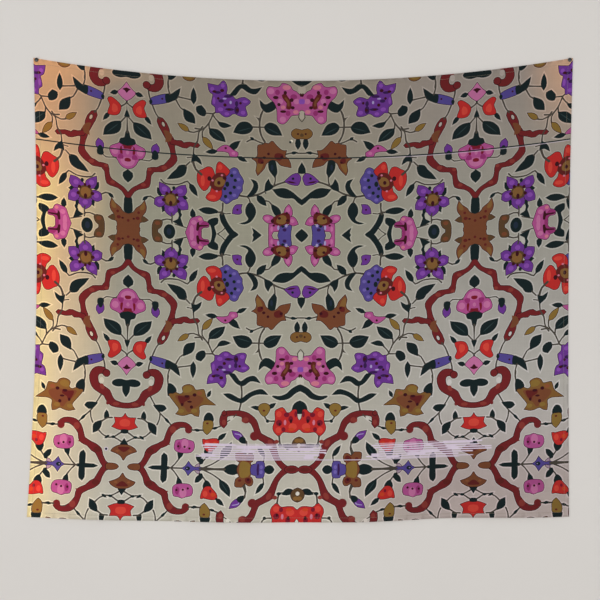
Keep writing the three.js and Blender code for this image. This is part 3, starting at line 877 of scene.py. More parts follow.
def draw_fire_star(art):
    """The small red star flower on the side mirror line and the brown flower below it."""
    art.shape("red", (-15, 535, -14, 532, tip(0, 521), 8, 532, tip(30, 533), 27, 547, tip(36, 559), 18, 566,
        0, 568, -14, 568))
    art.mark("red_light", (-11, 542, -1, 536, 14, 542, 12, 556, -11, 557))
    art.shape("leaf", (-14, 568, 8, 567, 9, 575, 1, 577, -14, 577), (-20, 607, -10, 603, tip(0, 592), 7, 603,
        10, 610, -13, 613))
    art.shape("brown", (-20, 614, 10, 610, 31, 620, tip(36, 628), 20, 634, 8, 641, tip(1, 652), -19, 636))
    art.mark("brown_red", (-20, 616, 16, 616, 11, 624, 1, 630, -20, 625))
    art.dots("brown_light", (18, 627, 5, 3))


def draw_side_scroll(art):
    """The dark red scroll that ends in a brown tip on the lower mirror line."""
    art.band("scroll", (182, 559, 20), (178, 551, 14), (164, 547, 14), (145, 552, 20), (133, 563, 20),
        (124, 580, 15), (119, 598, 18), (100, 609, 15), (85, 619, 22), (72, 628, 20), (65, 644, 15),
        (54, 663, 15), (42, 672, 18))
    art.dots("scroll", (182, 561, 11))
    art.mark("scroll", (124, 599, 120, 586, tip(131, 605), 114, 608, 111, 603))
    art.dots("scroll_light", (137, 562, 9, 10))
    art.dots("brown_red", (75, 625, 11, 8))
    art.shape("brown", (47, 664, 32, 662, 18, 665, tip(12, 672), 18, 679, 33, 681, 47, 679))
    art.stem(3, (157, 556, 167, 555))
    art.stem(4, (190, 561, 207, 562, 221, 561))
    art.leaves("leaf", (200, 560, 213, 563, 7))


def draw_sceptre(art):
    """The dark cross, violet lozenge and pink tulip inside the side scroll."""
    art.band("leaf", (115, 636, 14), (116, 646, 17), (116, 675, 15))
    art.band("leaf", (71, 674, 5), (83, 673, 13), (108, 673, 15), (130, 673, 10))
    art.stem(7, (130, 673, 144, 672, 166, 673))
    art.stem(4, (136, 670, 146, 660, 159, 642))
    art.shape("violet", (163, 673, 163, 672, 175, 666, tip(185, 651), 195, 663, 206, 668, 219, 666,
        219, 673))
    art.dots("leaf", (183, 673, 8))
    art.dots("lavender", (181, 672, 2.5))
    art.stem(9, (217, 673, 242, 674))
    art.shape("leaf", (154, 625, 168, 624, 166, 636, tip(156, 645), 154, 634))
    art.shape("pink", (143, 606, 147, 592, 160, 590, 170, 586, 181, 590, 197, 595, 200, 611, 192, 624,
        174, 627, 154, 625, 144, 618))
    art.mark("rose", (150, 602, 158, 595, 162, 612, 154, 619))
    art.dots("pink_light", (173, 601, 10, 14))
    art.dots("wine", (154, 609, 3.5), (172, 610, 3.5), (186, 614, 3.5))
    art.shape("leaf", (tip(209, 638), 220, 640, 227, 646, 224, 657, 216, 654))


def draw_wing_knots(art):
    """Small lit knots along the lower scrolls."""
    art.dots("scroll_light", (339, 531, 7, 6), (433, 591, 7, 6))


MOTIFS = (
    draw_axis_star, draw_scroll_arch, draw_arch_flower, draw_diamond_and_trefoil, draw_purple_bar, draw_lyre,
    draw_wild_star, draw_capsule, draw_side_flower, draw_small_bits, draw_butterfly, draw_garland,
    draw_two_colour_flower, draw_eared_flower, draw_centre_seed, draw_twig_leaves, draw_forked_twig,
    draw_purple_cluster, draw_double_rose, draw_winged_stem, draw_ochre_bud, draw_lower_scroll,
    draw_red_double, draw_shield, draw_lamp_bud, draw_bow_flower, draw_lower_spray, draw_ochre_lamp,
    draw_maple_flower, draw_vine, draw_fire_star, draw_side_scroll, draw_sceptre, draw_wing_knots)


def draw_cell(simple=False):
    """All the printed shapes of one cell of the repeat."""
    art = Artwork(simple)
    for motif in MOTIFS:
        motif(art)
    return art.all_layers()


def inside(outline, places):
    """Which places lie inside an outline, counting a band that crosses itself as whole."""
    winding = np.zeros(len(places), int)
    after = np.roll(outline, -1, axis=0)
    for (x0, y0), (x1, y1) in zip(outline, after):
        turn = (x1 - x0) * (places[:, 1] - y0) - (places[:, 0] - x0) * (y1 - y0)
        winding += (y0 <= places[:, 1]) & (y1 > places[:, 1]) & (turn > 0)
        winding -= (y0 > places[:, 1]) & (y1 <= places[:, 1]) & (turn < 0)
    return winding != 0


def cell_cuts():
    """Where the cloth's edges cut the outer cells, in millimetres of the cell: left, right, top, bottom."""
    p = prints()
    across, down = p.across / MM, p.down / MM
    left = p.side_line / p.side_pitch * across
    right = (1 - p.side_line - 2 * p.side_pitch) / p.side_pitch * across
    top = p.upper_line / p.level_pitch * down
    bottom = down - (1 - p.upper_line - p.level_pitch) / p.level_pitch * down
    return left, right, top, bottom


def cell_triangles(layers):
    """One cell of the print: its points, triangles and the layer on top of each (-1 for plain cloth)."""
    across, down = prints().across / MM, prints().down / MM
    left, right, top, bottom = cell_cuts()
    grid = prints().grid / MM
    points, edges = [], []

    def add_line(line, closed):
        first = len(points)
        points.extend(Vector((float(x), float(y))) for x, y in line)
        total = len(line)
        edges.extend((first + i, first + (i + 1) % total) for i in range(total if closed else total - 1))

    between = np.linspace(0, across, round(across / grid) + 1)[1:-1]
    columns = sorted({0.0, across, left, right} | set(between))
    rows = sorted({0.0, down, top, bottom} | set(np.linspace(0, down, round(down / grid) + 1)[1:-1]))
    for x in (0.0, left, right, across):
        add_line([(x, y) for y in rows], False)
    for y in (0.0, bottom, top, down):
        add_line([(x, y) for x in columns], False)
    for index, y in enumerate(rows[1:-1]):
        shift = grid / 2 if index % 2 else 0
        points.extend(Vector((x + shift, y)) for x in columns[1:-1] if x + shift < across - grid / 3)
    for outline, ink in layers:
        add_line(outline, True)
    places, _, faces, *_ = delaunay_2d_cdt(points, edges, [], 0, 0.02)
    places = np.array([tuple(place) for place in places])
    faces = np.array([face for face in faces if len(face) == 3])
    for value in (0.0, left, right, across):
        places[np.abs(places[:, 0] - value) < 0.05, 0] = value
    for value in (0.0, bottom, top, down):
        places[np.abs(places[:, 1] - value) < 0.05, 1] = value
    middle = places[faces].mean(axis=1)
    a, b, c = (places[faces[:, corner]] for corner in range(3))
    size = np.abs((b - a)[:, 0] * (c - a)[:, 1] - (c - a)[:, 0] * (b - a)[:, 1])
    kept = np.all((middle > 0) & (middle < (across, down)), axis=1) & (size > 1e-6)
    faces, middle = faces[kept], middle[kept]
    on_top = np.full(len(faces), -1)
    for index, (outline, ink) in enumerate(layers):
        low, high = outline.min(axis=0), outline.max(axis=0)
        near = np.nonzero(np.all((middle > low) & (middle < high), axis=1))[0]
        on_top[near[inside(outline, middle[near])]] = index
    return places, faces, on_top


def whole_print(layers):
    """The cell mirrored over the whole cloth: places across and down from 0 to 1, triangles, top layers."""
    p = prints()
    width, drop = p.across / MM, p.down / MM
    left, right, top, bottom = cell_cuts()
    places, faces, on_top = cell_triangles(layers)
    middle = places[faces].mean(axis=1)
    columns = ((0, -1, left), (0, 1, width), (2, -1, width), (2, 1, right))
    rows = ((0, -1, 0, top), (0, 1, 0, drop), (2, -1, bottom, drop))
    all_places, all_faces, all_tops = [], [], []
    total = 0
    for start, way, reach in columns:
        for row, sense, low, high in rows:
            kept = (middle[:, 0] < reach) & (middle[:, 1] > low) & (middle[:, 1] < high)
            across = p.side_line + p.side_pitch * (start + way * places[:, 0] / width)
            down = p.upper_line + p.level_pitch * (row + sense * places[:, 1] / drop)
            all_places.append(np.stack([across, down], axis=1))
            all_faces.append(faces[kept] + total)
            all_tops.append(on_top[kept])
            total += len(places)
    places, faces, tops = np.vstack(all_places), np.vstack(all_faces), np.concatenate(all_tops)
    places[np.abs(places) < 2e-5] = 0.0
    places[np.abs(places - 1) < 2e-5] = 1.0
    used, faces = np.unique(faces, return_inverse=True)
    places, faces = places[used], faces.reshape(-1, 3)
    _, first, same = np.unique(np.round(places, 7), axis=0, return_index=True, return_inverse=True)
    places, faces = places[first], same.reshape(-1)[faces]
    whole = (faces[:, 0] != faces[:, 1]) & (faces[:, 1] != faces[:, 2]) & (faces[:, 2] != faces[:, 0])
    return places, faces[whole], tops[whole]


def ink_table(layers, faded):
    """The colour of each layer and, last, of the ground; its fourth part is 1 for plain cloth, 0 for ink."""
    i = inks()
    rows = []
    for name in [ink for outline, ink in layers] + ["ground"]:
        plain = name in ("ground", "halo")
        value = np.array(getattr(i, name))
        if faded and not plain:
            value = mix(value, np.array(i.ground), faded)
        rows.append((*value, 1.0 if plain else 0.0))
    return np.array(rows)


def edge_order(places):
    """The border points in order round the cloth, and how far round each is, from 0 to 4."""
    across, down = places[:, 0], places[:, 1]
    turn = np.full(len(places), np.nan)
    turn[across == 0] = 4 - down[across == 0]
    turn[down == 1] = 3 - across[down == 1]
    turn[across == 1] = 1 + down[across == 1]
    turn[down == 0] = across[down == 0]
    border = np.nonzero(~np.isnan(turn))[0]
    border = border[np.argsort(turn[border])]
    return border, turn[border]


def zipped(first, second):
    """Triangles that join two closed rows of points, each given as (numbers, how far round)."""
    (one, one_at), (two, two_at) = first, second
    faces = []
    i = j = 0
    while i < len(one) or j < len(two):
        next_one = one_at[i + 1] if i + 1 < len(one) else 4.0 if i < len(one) else 9.0
        next_two = two_at[j + 1] if j + 1 < len(two) else 4.0 if j < len(two) else 9.0
        here, there = one[i % len(one)], two[j % len(two)]
        if next_one <= next_two:
            i += 1
            faces.append((here, there, one[i % len(one)]))
        else:
            j += 1
            faces.append((here, there, two[j % len(two)]))
    return np.array(faces)


def turned_out(points, faces, outward):
    """The triangles, each turned so that it faces the way given for it."""
    a, b, c = (points[faces[:, corner]] for corner in range(3))
    wrong = np.sum(np.cross(b - a, c - a) * outward, axis=1) < 0
    faces = faces.copy()
    faces[wrong] = faces[wrong][:, ::-1]
    return faces


def mesh_object(name, points, faces, material, colours=None, maps=None, smooth=True):
    """A mesh object, with a colour for each face and a place on each map for each point."""
    mesh = bpy.data.meshes.new(name)
    mesh.from_pydata(np.asarray(points).tolist(), [], np.asarray(faces).tolist()
                     if isinstance(faces, np.ndarray) else faces)
    mesh.update()
    corners = np.zeros(len(mesh.loops), int)
    mesh.loops.foreach_get("vertex_index", corners)
    if colours is not None:
        sides = np.zeros(len(mesh.polygons), int)
        mesh.polygons.foreach_get("loop_total", sides)
        layer = mesh.color_attributes.new("print_colour", "FLOAT_COLOR", "CORNER")
        layer.data.foreach_set("color", np.repeat(colours, sides, axis=0).astype(np.float32).ravel())
    if maps is not None:
        for title, values in maps.items():
            layer = mesh.uv_layers.new(name=title)
            layer.uv.foreach_set("vector", values[corners].astype(np.float32).ravel())
        mesh.uv_layers.active = mesh.uv_layers[0]
    if smooth:
        mesh.shade_smooth()
    mesh.materials.append(material)
    return in_scene(name, mesh)


def in_scene(name, data):
    """A new object in the scene for this mesh, lamp or camera."""
    obj = bpy.data.objects.new(name, data)
    bpy.context.scene.collection.objects.link(obj)
    return obj


def pulled_in(places):
    """The panel's own edge lies just inside the fold of the hem."""
    s = sizes()
    inset = np.array([EDGE_IN / s.width, EDGE_IN / s.height])
    return inset + places * (1 - 2 * inset)


def hung_with_pins(obj):
    """Bakes the piece's placement into its mesh; the cloth already hangs where it is built."""
    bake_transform(obj)


# ---------------------------------------------------------------- materials


class Nodes:
    """Short words for placing and joining the nodes of one tree."""

    def __init__(self, tree):
        self.tree = tree
        self.column = 0

    def add(self, kind, **settings):
        node = self.tree.nodes.new(kind)
        self.column += 1
        node.location = (180 * (self.column % 12), -220 * (self.column // 12))
        for name, value in settings.items():
            setattr(node, name, value)
        return node

    def put(self, socket, value):
        if isinstance(value, bpy.types.NodeSocket):
            self.tree.links.new(value, socket)
        else:
            socket.default_value = value

    def fed(self, kind, feeds, **settings):
        """A node with values or other nodes' outputs in its inputs."""
        node = self.add(kind, **settings)
        for title, value in feeds.items():
            self.put(node.inputs[title], value)
        return node

    def math(self, operation, first, second=0.0):
        return self.fed("ShaderNodeMath", {0: first, 1: second}, operation=operation).outputs[0]

    def times(self, first, second):
        return self.math("MULTIPLY", first, second)

    def plus(self, first, second):
        return self.math("ADD", first, second)

    def minus(self, first, second):
        return self.math("SUBTRACT", first, second)

    def ranged(self, value, low, high, to_low=0.0, to_high=1.0, soft=True):
        feeds = {"Value": value, "From Min": low, "From Max": high, "To Min": to_low, "To Max": to_high}
        kind = "SMOOTHSTEP" if soft else "LINEAR"
        return self.fed("ShaderNodeMapRange", feeds, interpolation_type=kind).outputs["Result"]

    def blend(self, kind, part, first, second):
        feeds = {0: part, 6: first, 7: second}
        return self.fed("ShaderNodeMix", feeds, data_type="RGBA", blend_type=kind).outputs[2]

    def ramp(self, value, stops):
        node = self.add("ShaderNodeValToRGB")
        self.put(node.inputs[0], value)
        elements = node.color_ramp.elements
        while len(elements) < len(stops):
            elements.new(0.5)
        for element, (place, tint) in zip(elements, stops):
            element.position = place
            element.color = (*tint, 1.0)
        return node.outputs[0]

    def noise(self, coordinates, scale, detail=2.0, stretch=None):
        if stretch:
            coordinates = self.fed("ShaderNodeMapping", {"Vector": coordinates, "Scale": stretch}).outputs[0]
        feeds = {"Vector": coordinates, "Scale": scale, "Detail": detail}
        return self.fed("ShaderNodeTexNoise", feeds).outputs["Fac"]

    def place(self):
        return self.add("ShaderNodeTexCoord").outputs["Object"]

    def bump(self, height, strength, distance):
        feeds = {"Height": height, "Strength": strength, "Distance": distance}
        return self.fed("ShaderNodeBump", feeds).outputs["Normal"]

    def vector(self, operation, first, second):
        return self.fed("ShaderNodeVectorMath", {0: first, 1: second}, operation=operation)

    def scaled(self, vector, factor):
        return self.fed("ShaderNodeVectorMath", {0: vector, "Scale": factor}, operation="SCALE").outputs[0]

    def shaded(self, value, low, high, tint, from_share, to_share=1.0):
        """A colour that goes from one share of its strength to another between two values."""
        ends = ((low, from_share), (high, to_share))
        return self.ramp(value, [(at, [strength * part for part in tint]) for at, strength in ends])

    def within(self, value, low, high, soft):
        """1 between two values and 0 beyond them, with soft ends."""
        return self.times(self.ranged(value, low - soft, low), self.ranged(value, high + soft, high))


def new_group(name, inputs, outputs):
    """An empty shader group with its named sockets, and its in and out nodes."""
    tree = bpy.data.node_groups.new(name, "ShaderNodeTree")
    for title, kind, default in inputs:
        socket = tree.interface.new_socket(title, in_out="INPUT", socket_type=kind)
        if default is not None:
            socket.default_value = default
    for title, kind in outputs:
        tree.interface.new_socket(title, in_out="OUTPUT", socket_type=kind)
    n = Nodes(tree)
    return n, n.add("NodeGroupInput"), n.add("NodeGroupOutput")


def weave_group():
    """Plain weave: threads over and under each other, from places in metres."""
    if "plain_weave" in bpy.data.node_groups:
        return bpy.data.node_groups["plain_weave"]
    n, entry, leave = new_group(
        "plain_weave",
        (("Place", "NodeSocketVector", None), ("Threads", "NodeSocketFloat", 1400.0)),
        (("Height", "NodeSocketFloat"), ("Slub", "NodeSocketFloat")))
    counted = n.scaled(entry.outputs["Place"], entry.outputs["Threads"])
    parts = n.fed("ShaderNodeSeparateXYZ", {0: counted})
    warp = n.math("SINE", n.times(parts.outputs["X"], math.pi))
    weft = n.math("SINE", n.times(parts.outputs["Z"], math.pi))
    woven = n.times(warp, weft)
    warp_round = n.math("ABSOLUTE", warp)
    weft_round = n.math("ABSOLUTE", weft)
    tops = n.math("MAXIMUM", n.times(warp_round, n.ranged(woven, -0.4, 0.4)),
                  n.times(weft_round, n.ranged(woven, 0.4, -0.4)))
    n.put(leave.inputs["Height"], tops)
    across = n.noise(entry.outputs["Place"], 260.0, 2.0, (1.0, 1.0, 0.05))
    level = n.noise(entry.outputs["Place"], 260.0, 2.0, (0.05, 1.0, 1.0))
    n.put(leave.inputs["Slub"], n.times(n.plus(across, level), 0.5))
    return n.tree


def painted_light_group():
    """The cloth's ground with painted light and shade: painted shade darker at the top and in the lower
    right, painted warm light down the left side and painted amber light in the upper corners.
    """
    if "painted_light_ground" in bpy.data.node_groups:
        return bpy.data.node_groups["painted_light_ground"]
    i = inks()
    n, entry, leave = new_group(
        "painted_light_ground",
        (("Across", "NodeSocketFloat", 0.5), ("Down", "NodeSocketFloat", 0.5),
         ("Place", "NodeSocketVector", None)),
        (("Ground", "NodeSocketColor"), ("Light", "NodeSocketFloat"), ("Painted Warm Light", "NodeSocketColor")))
    across, down = entry.outputs["Across"], entry.outputs["Down"]
    drift = n.noise(entry.outputs["Place"], 2.3, 2.0)
    down = n.plus(down, n.times(n.minus(drift, 0.5), 0.06))
    # Painted shade: the ground ramp is darker towards the top of the cloth.
    middle = n.ramp(down, [(place, linear(code)) for place, code in GROUND_TONES_WITH_PAINTED_SHADE])
    side = n.ramp(down, [(place, linear(code)) for place, code in SIDE_TONES_WITH_PAINTED_LIGHT])
    reach = n.plus(across, n.times(n.minus(drift, 0.5), 0.05))
    # Painted warm light down the left side: the ground turns to the warm side tones.
    warm_light_side = n.ranged(reach, 0.17, 0.0)
    ground = n.blend("MIX", warm_light_side, middle, side)
    # Painted amber light in the upper right and upper left corners.
    amber_light_right = n.times(n.ranged(reach, 0.9, 1.0), n.ranged(down, 0.22, 0.0))
    amber_light_top_left = n.times(n.ranged(reach, 0.30, 0.02), n.ranged(down, 0.07, 0.0))
    amber_light = n.math("MAXIMUM", amber_light_right, amber_light_top_left)
    ground = n.blend("MIX", n.times(amber_light, 0.42), ground, (*i.painted_amber_light, 1.0))
    # Painted yellow light along the left edge.
    painted_edge_light = n.times(n.ranged(reach, 0.055, 0.0), n.ranged(down, 0.12, 0.3))
    ground = n.blend("MIX", n.times(painted_edge_light, 0.55), ground, (*i.painted_yellow_light, 1.0))
    # The right half is made a little lighter and bluer.
    ground = n.blend("MULTIPLY", n.ranged(reach, 0.5, 0.8), ground, (1.04, 1.04, 1.16, 1.0))
    # Painted shade in the lower right.
    painted_shade_low_right = n.times(n.ranged(reach, 0.5, 0.75), n.ranged(down, 0.7, 0.95))
    n.put(leave.inputs["Ground"], n.blend("MULTIPLY", painted_shade_low_right, ground, (0.76, 0.67, 0.67, 1.0)))
    # Painted light on the inks: darker at the top, lighter down the left side and in the amber corners,
    # darker in the lower right.
    lit = n.ranged(down, 0.0, 1.0, 0.77, 1.01, soft=False)
    lit = n.plus(lit, n.times(warm_light_side, 0.18))
    # Painted warm light on the inks down the left side.
    n.put(leave.inputs["Painted Warm Light"], n.blend("MIX", warm_light_side, (1.0, 1.0, 1.0, 1.0), (1.4, 1.08, 1.0, 1.0)))
    lit = n.minus(lit, n.times(painted_shade_low_right, 0.22))
    n.put(leave.inputs["Light"], n.plus(lit, n.times(amber_light, 0.15)))
    return n.tree


# The ground tones down the cloth carry painted shade, darker towards the top; the side tones carry painted
# warm light down the left edge.
GROUND_TONES_WITH_PAINTED_SHADE = ((0.0, "867D70"), (0.12, "878072"), (0.32, "8E8C7C"), (0.5, "989588"),
                (0.7, "A5A295"), (0.86, "B1ADA2"), (1.0, "BBB7AA"))
SIDE_TONES_WITH_PAINTED_LIGHT = ((0.0, "C4916A"), (0.18, "D3A67E"), (0.3, "E5BF89"), (0.45, "DDB78C"), (0.6, "E7CBA0"),
              (0.8, "E6D0AB"), (1.0, "E2D0AC"))


def surface(name, rough, **sockets):
    """A new material with its shader, ready for its colour and bump."""
    material = bpy.data.materials.new(name)
    material.use_nodes = True
    n = Nodes(material.node_tree)
    shader = material.node_tree.nodes["Principled BSDF"]
    shader.inputs["Roughness"].default_value = rough
    for title, value in sockets.items():
        shader.inputs[title.replace("_", " ")].default_value = value
    return material, n, shader


def printed_marks(n, across, down, colour_in):
    """The printing faults: a thin line across the top, a streaked band low down and a few specks."""
    i = inks()
    flat = n.fed("ShaderNodeCombineXYZ", {"X": across, "Y": down})
    line = n.within(down, 0.1746, 0.1768, 0.0004)
    colour_in = n.blend("MIX", line, colour_in, (*i.leaf, 1.0))
    below = n.times(n.ranged(down, 0.1773, 0.1776), n.ranged(down, 0.1790, 0.1786))
    below = n.times(below, n.ranged(across, 0.60, 0.68))
    colour_in = n.blend("MIX", n.times(below, 0.5), colour_in, (*i.streak, 1.0))
    stripe = n.times(down, sizes().height / (6.4 * MM))
    row = n.math("FLOOR", stripe)
    chance = n.fed("ShaderNodeTexWhiteNoise", {"W": row}, noise_dimensions="1D")
    edge = n.plus(across, n.times(chance.outputs["Value"], 0.03))
    far_edge = n.plus(across, n.times(chance.outputs["Value"], 0.08))
    first = n.within(edge, 0.337, 0.553, 0.003)
    second = n.times(n.ranged(edge, 0.650, 0.653), n.ranged(far_edge, 0.873, 0.870))
    zone = n.times(n.math("MAXIMUM", first, second), n.within(down, 0.823, 0.856, 0.0015))
    gap = n.ranged(n.math("FRACT", stripe), 0.56, 0.62)
    along = n.fed("ShaderNodeCombineXYZ", {"X": n.times(across, 13.0), "Y": n.times(row, 7.3)})
    open_gap = n.ranged(n.noise(along.outputs[0], 1.0, 1.0), 0.42, 0.46)
    cover = n.times(zone, n.minus(0.97, n.times(gap, open_gap)))
    rule = n.times(n.within(down, 0.8576, 0.8592, 0.0004), n.within(across, 0.34, 0.79, 0.01))
    cover = n.math("MAXIMUM", cover, n.times(rule, 0.8))
    colour_in = n.blend("MIX", cover, colour_in, (*i.streak, 1.0))
    width, height = sizes().width, sizes().height
    in_metres = n.vector("MULTIPLY", flat.outputs[0], (width, height, 0.0)).outputs[0]
    for place_across, place_down, reach, tone in SPECKS:
        gap = n.vector("DISTANCE", in_metres, (place_across * width, place_down * height, 0.0))
        spot = n.ranged(gap.outputs["Value"], reach * MM * 1.3, reach * MM)
        colour_in = n.blend("MIX", spot, colour_in, (*getattr(i, tone), 1.0))
    return colour_in


SPECKS = ((0.4785, 0.1365, 3.4, "halo"), (0.476, 0.139, 3.0, "leaf"), (0.14, 0.842, 4.8, "streak"),
          (0.14, 0.842, 3.0, "leaf"), (0.43, 0.2545, 1.8, "leaf"), (0.493, 0.695, 1.8, "leaf"))


def woven_cloth(name, marks, bump):
    """Thin printed polyester: the ground with its painted light and shade, the inks of the print, weave,
    slubs, wear of the dye and painted shade between the threads.
    """
    material, n, shader = surface(name, 0.88, Sheen_Weight=0.05, Specular_IOR_Level=0.12)
    place = n.place()
    mapped = n.add("ShaderNodeUVMap", uv_map="cloth_map").outputs[0]
    parts = n.fed("ShaderNodeSeparateXYZ", {0: mapped})
    across = parts.outputs["X"]
    down = n.minus(1.0, parts.outputs["Y"])
    ink = n.add("ShaderNodeAttribute", attribute_name="print_colour")
    feeds = {"Across": across, "Down": down, "Place": place}
    ground = n.fed("ShaderNodeGroup", feeds, node_tree=painted_light_group())
    base = n.vector("DIVIDE", ink.outputs["Color"], tuple(inks().ground)).outputs[0]
    # The plain cloth takes the painted light and shade of the ground; the inks are scaled by its painted
    # light and warmed by its painted warm light.
    ground_with_painted_light = n.blend("MULTIPLY", 1.0, ground.outputs["Ground"], base)
    lit = n.scaled(ink.outputs["Color"], ground.outputs["Light"])
    warm_lit_ink = n.blend("MULTIPLY", 1.0, lit, ground.outputs["Painted Warm Light"])
    tint = n.blend("MIX", ink.outputs["Alpha"], warm_lit_ink, ground_with_painted_light)
    if marks:
        shown = n.add("ShaderNodeAttribute", attribute_name="printed_side").outputs["Fac"]
        tint = n.blend("MIX", shown, tint, printed_marks(n, across, down, tint))
    weave = n.fed("ShaderNodeGroup", {"Place": place, "Threads": 1400.0}, node_tree=weave_group())
    mottle = n.noise(place, 34.0, 3.0)
    # Mottled wear of the dye and slubs, and painted shade between the threads: the colour is lighter on the
    # thread tops of the weave.
    mottle_and_weave_shade = n.plus(n.times(mottle, 0.16), n.times(weave.outputs["Slub"], 0.16))
    mottle_and_weave_shade = n.plus(mottle_and_weave_shade, n.times(weave.outputs["Height"], 0.10))
    mottle_and_weave_shade = n.plus(mottle_and_weave_shade, 0.767)
    n.put(shader.inputs["Base Color"], n.scaled(tint, mottle_and_weave_shade))
    n.put(shader.inputs["Roughness"], n.ranged(mottle, 0.2, 0.8, 0.84, 0.94))
    n.put(shader.inputs["Normal"], n.bump(weave.outputs["Height"], bump, 0.0002))
    return material


def thread_material():
    """Spun sewing thread with a fine twist."""
    material, n, shader = surface("spun_thread", 0.8, Sheen_Weight=0.2)
    place = n.place()
    twist = n.noise(place, 900.0, 2.0)
    tint = n.shaded(twist, 0.3, 0.7, inks().thread, 0.7)
    n.put(shader.inputs["Base Color"], tint)
    n.put(shader.inputs["Normal"], n.bump(twist, 0.4, 0.0001))
    return material


def enamel_material():
    """Glossy black enamel with faint rub marks."""
    material, n, shader = surface("cap_enamel", 0.28, Coat_Weight=0.4, Coat_Roughness=0.12)
    place = n.place()
    rub = n.noise(place, 1800.0, 3.0, (1.0, 0.3, 0.2))
    tint = n.shaded(rub, 0.35, 0.75, inks().enamel, 1.0, 2.2)
    n.put(shader.inputs["Base Color"], tint)
    n.put(shader.inputs["Roughness"], n.ranged(rub, 0.3, 0.8, 0.2, 0.42))
    n.put(shader.inputs["Normal"], n.bump(n.noise(place, 500.0, 2.0), 0.06, 0.0002))
    return material


def steel_material():
    """Drawn steel wire with fine lines along it."""
    material, n, shader = surface("drawn_steel", 0.3, Metallic=1.0)
    lines = n.noise(n.place(), 4000.0, 2.0, (1.0, 0.05, 1.0))
    tint = n.shaded(lines, 0.3, 0.7, inks().steel, 0.7)
    n.put(shader.inputs["Base Color"], tint)
    n.put(shader.inputs["Roughness"], n.ranged(lines, 0.3, 0.7, 0.22, 0.4))
    return material


def plaster_material():
    """A painted wall with a fine roller texture; from behind it can be seen through."""
    material, n, shader = surface("painted_plaster", 0.85)
    place = n.place()
    cloudy = n.noise(place, 1.6, 2.0)
    grain = n.noise(place, 420.0, 3.0)
    tint = n.shaded(cloudy, 0.25, 0.75, inks().plaster, 0.965)
    n.put(shader.inputs["Base Color"], tint)
    n.put(shader.inputs["Normal"], n.bump(grain, 0.2, 0.0005))
    clear = n.add("ShaderNodeBsdfTransparent")
    behind = n.add("ShaderNodeNewGeometry").outputs["Backfacing"]
    choice = n.fed("ShaderNodeMixShader", {0: behind, 1: shader.outputs[0], 2: clear.outputs[0]})
    n.put(material.node_tree.nodes["Material Output"].inputs["Surface"], choice.outputs[0])
    return material


def floor_material():
    """A plain matt floor."""
    material, n, shader = surface("plain_floor", 0.8)
    cloudy = n.noise(n.place(), 3.0, 2.0)
    tint = n.shaded(cloudy, 0.3, 0.7, inks().floor, 0.96)
    n.put(shader.inputs["Base Color"], tint)
    return material


def material_for(name):
    """The finished material of this name, made the first time it is asked for.

    None of the names is one of the frame's own slots, whose plain materials are in the file already.
    """
    if name in bpy.data.materials:
        return bpy.data.materials[name]
    makers = {
        "printed_polyester": lambda: woven_cloth("printed_polyester", True, 0.25),
        "hem_polyester": lambda: woven_cloth("hem_polyester", False, 0.3),
        "spun_thread": thread_material, "cap_enamel": enamel_material, "drawn_steel": steel_material,
        "painted_plaster": plaster_material, "plain_floor": floor_material}
    return makers[name]()


# ---------------------------------------------------------------- the cloth and its hems


EDGE_IN = 1.3 * MM     # the panel's own edge lies this far inside the fold of the hem
FOLD_END = 1.6 * MM    # the round of the fold ends this far from the edge


def cloth_map(places):
    return np.stack([places[:, 0], 1 - places[:, 1]], axis=1)


def make_panel():
    """The printed panel: its face carries the whole print, its back a faint strike-through of it."""
    s = sizes()
    face_layers = draw_cell()
    back_layers = draw_cell(simple=True)
    face_places, face_faces, face_tops = whole_print(face_layers)
    back_places, back_faces, back_tops = whole_print(back_layers)
    face_at, back_at = pulled_in(face_places), pulled_in(back_places)
    face_points = hang(face_at[:, 0], face_at[:, 1], s.front)
    back_points = hang(back_at[:, 0], back_at[:, 1], s.back)
    points = np.vstack([face_points, back_points])
    lift = len(face_points)
    face_edge, back_edge = edge_order(face_places), edge_order(back_places)
    walls = zipped(face_edge, (back_edge[0] + lift, back_edge[1]))
    front = turned_out(points, face_faces, np.array([0, -1, 0]))
    back = turned_out(points, back_faces + lift, np.array([0, 1, 0]))
    centre = points.mean(axis=0)
    walls = turned_out(points, walls, (points[walls].mean(axis=1) - centre) * np.array([1, 0, 1]))
    face_inks, back_inks = ink_table(face_layers, 0), ink_table(back_layers, 0.62)
    wall_inks = np.tile(face_inks[-1], (len(walls), 1))
    colours = np.vstack([face_inks[face_tops], back_inks[back_tops], wall_inks])
    maps = {"cloth_map": np.vstack([cloth_map(face_at), cloth_map(back_at)])}
    faces = np.vstack([front, back, walls])
    panel = mesh_object("printed_panel", points, faces, material_for("printed_polyester"), colours, maps)
    counts = [len(front), len(back), len(walls)]
    panel_uv(panel, counts, np.vstack([face_at, back_at]))
    shown = panel.data.attributes.new("printed_side", "FLOAT", "FACE")
    shown.data.foreach_set("value", np.repeat([1.0, 0.15, 1.0], counts).astype(np.float32))
    return panel, edge_print(face_places, face_faces, face_tops, face_inks, face_edge)


def panel_uv(panel, counts, places):
    """A flat map for the surface colours, with the face on the left and the back on the right."""
    mesh = panel.data
    corners = np.zeros(len(mesh.loops), int)
    mesh.loops.foreach_get("vertex_index", corners)
    at = places[corners]
    side = np.repeat([0, 1, 2], np.array(counts) * 3)
    tall = sizes().height / sizes().width
    across = np.where(side == 1, 0.68 + 0.30 * at[:, 0], 0.01 + 0.64 * at[:, 0])
    down = 0.01 + np.where(side == 1, 0.30, 0.64) * tall * at[:, 1]
    wall_at = np.arange(len(corners)) % 3
    across = np.where(side == 2, 0.70 + 0.01 * wall_at, across)
    down = np.where(side == 2, 0.90 + 0.01 * (wall_at == 1), down)
    layer = mesh.uv_layers.new(name="OFBake")
    layer.uv.foreach_set("vector", np.stack([across, down], axis=1).astype(np.float32).ravel())


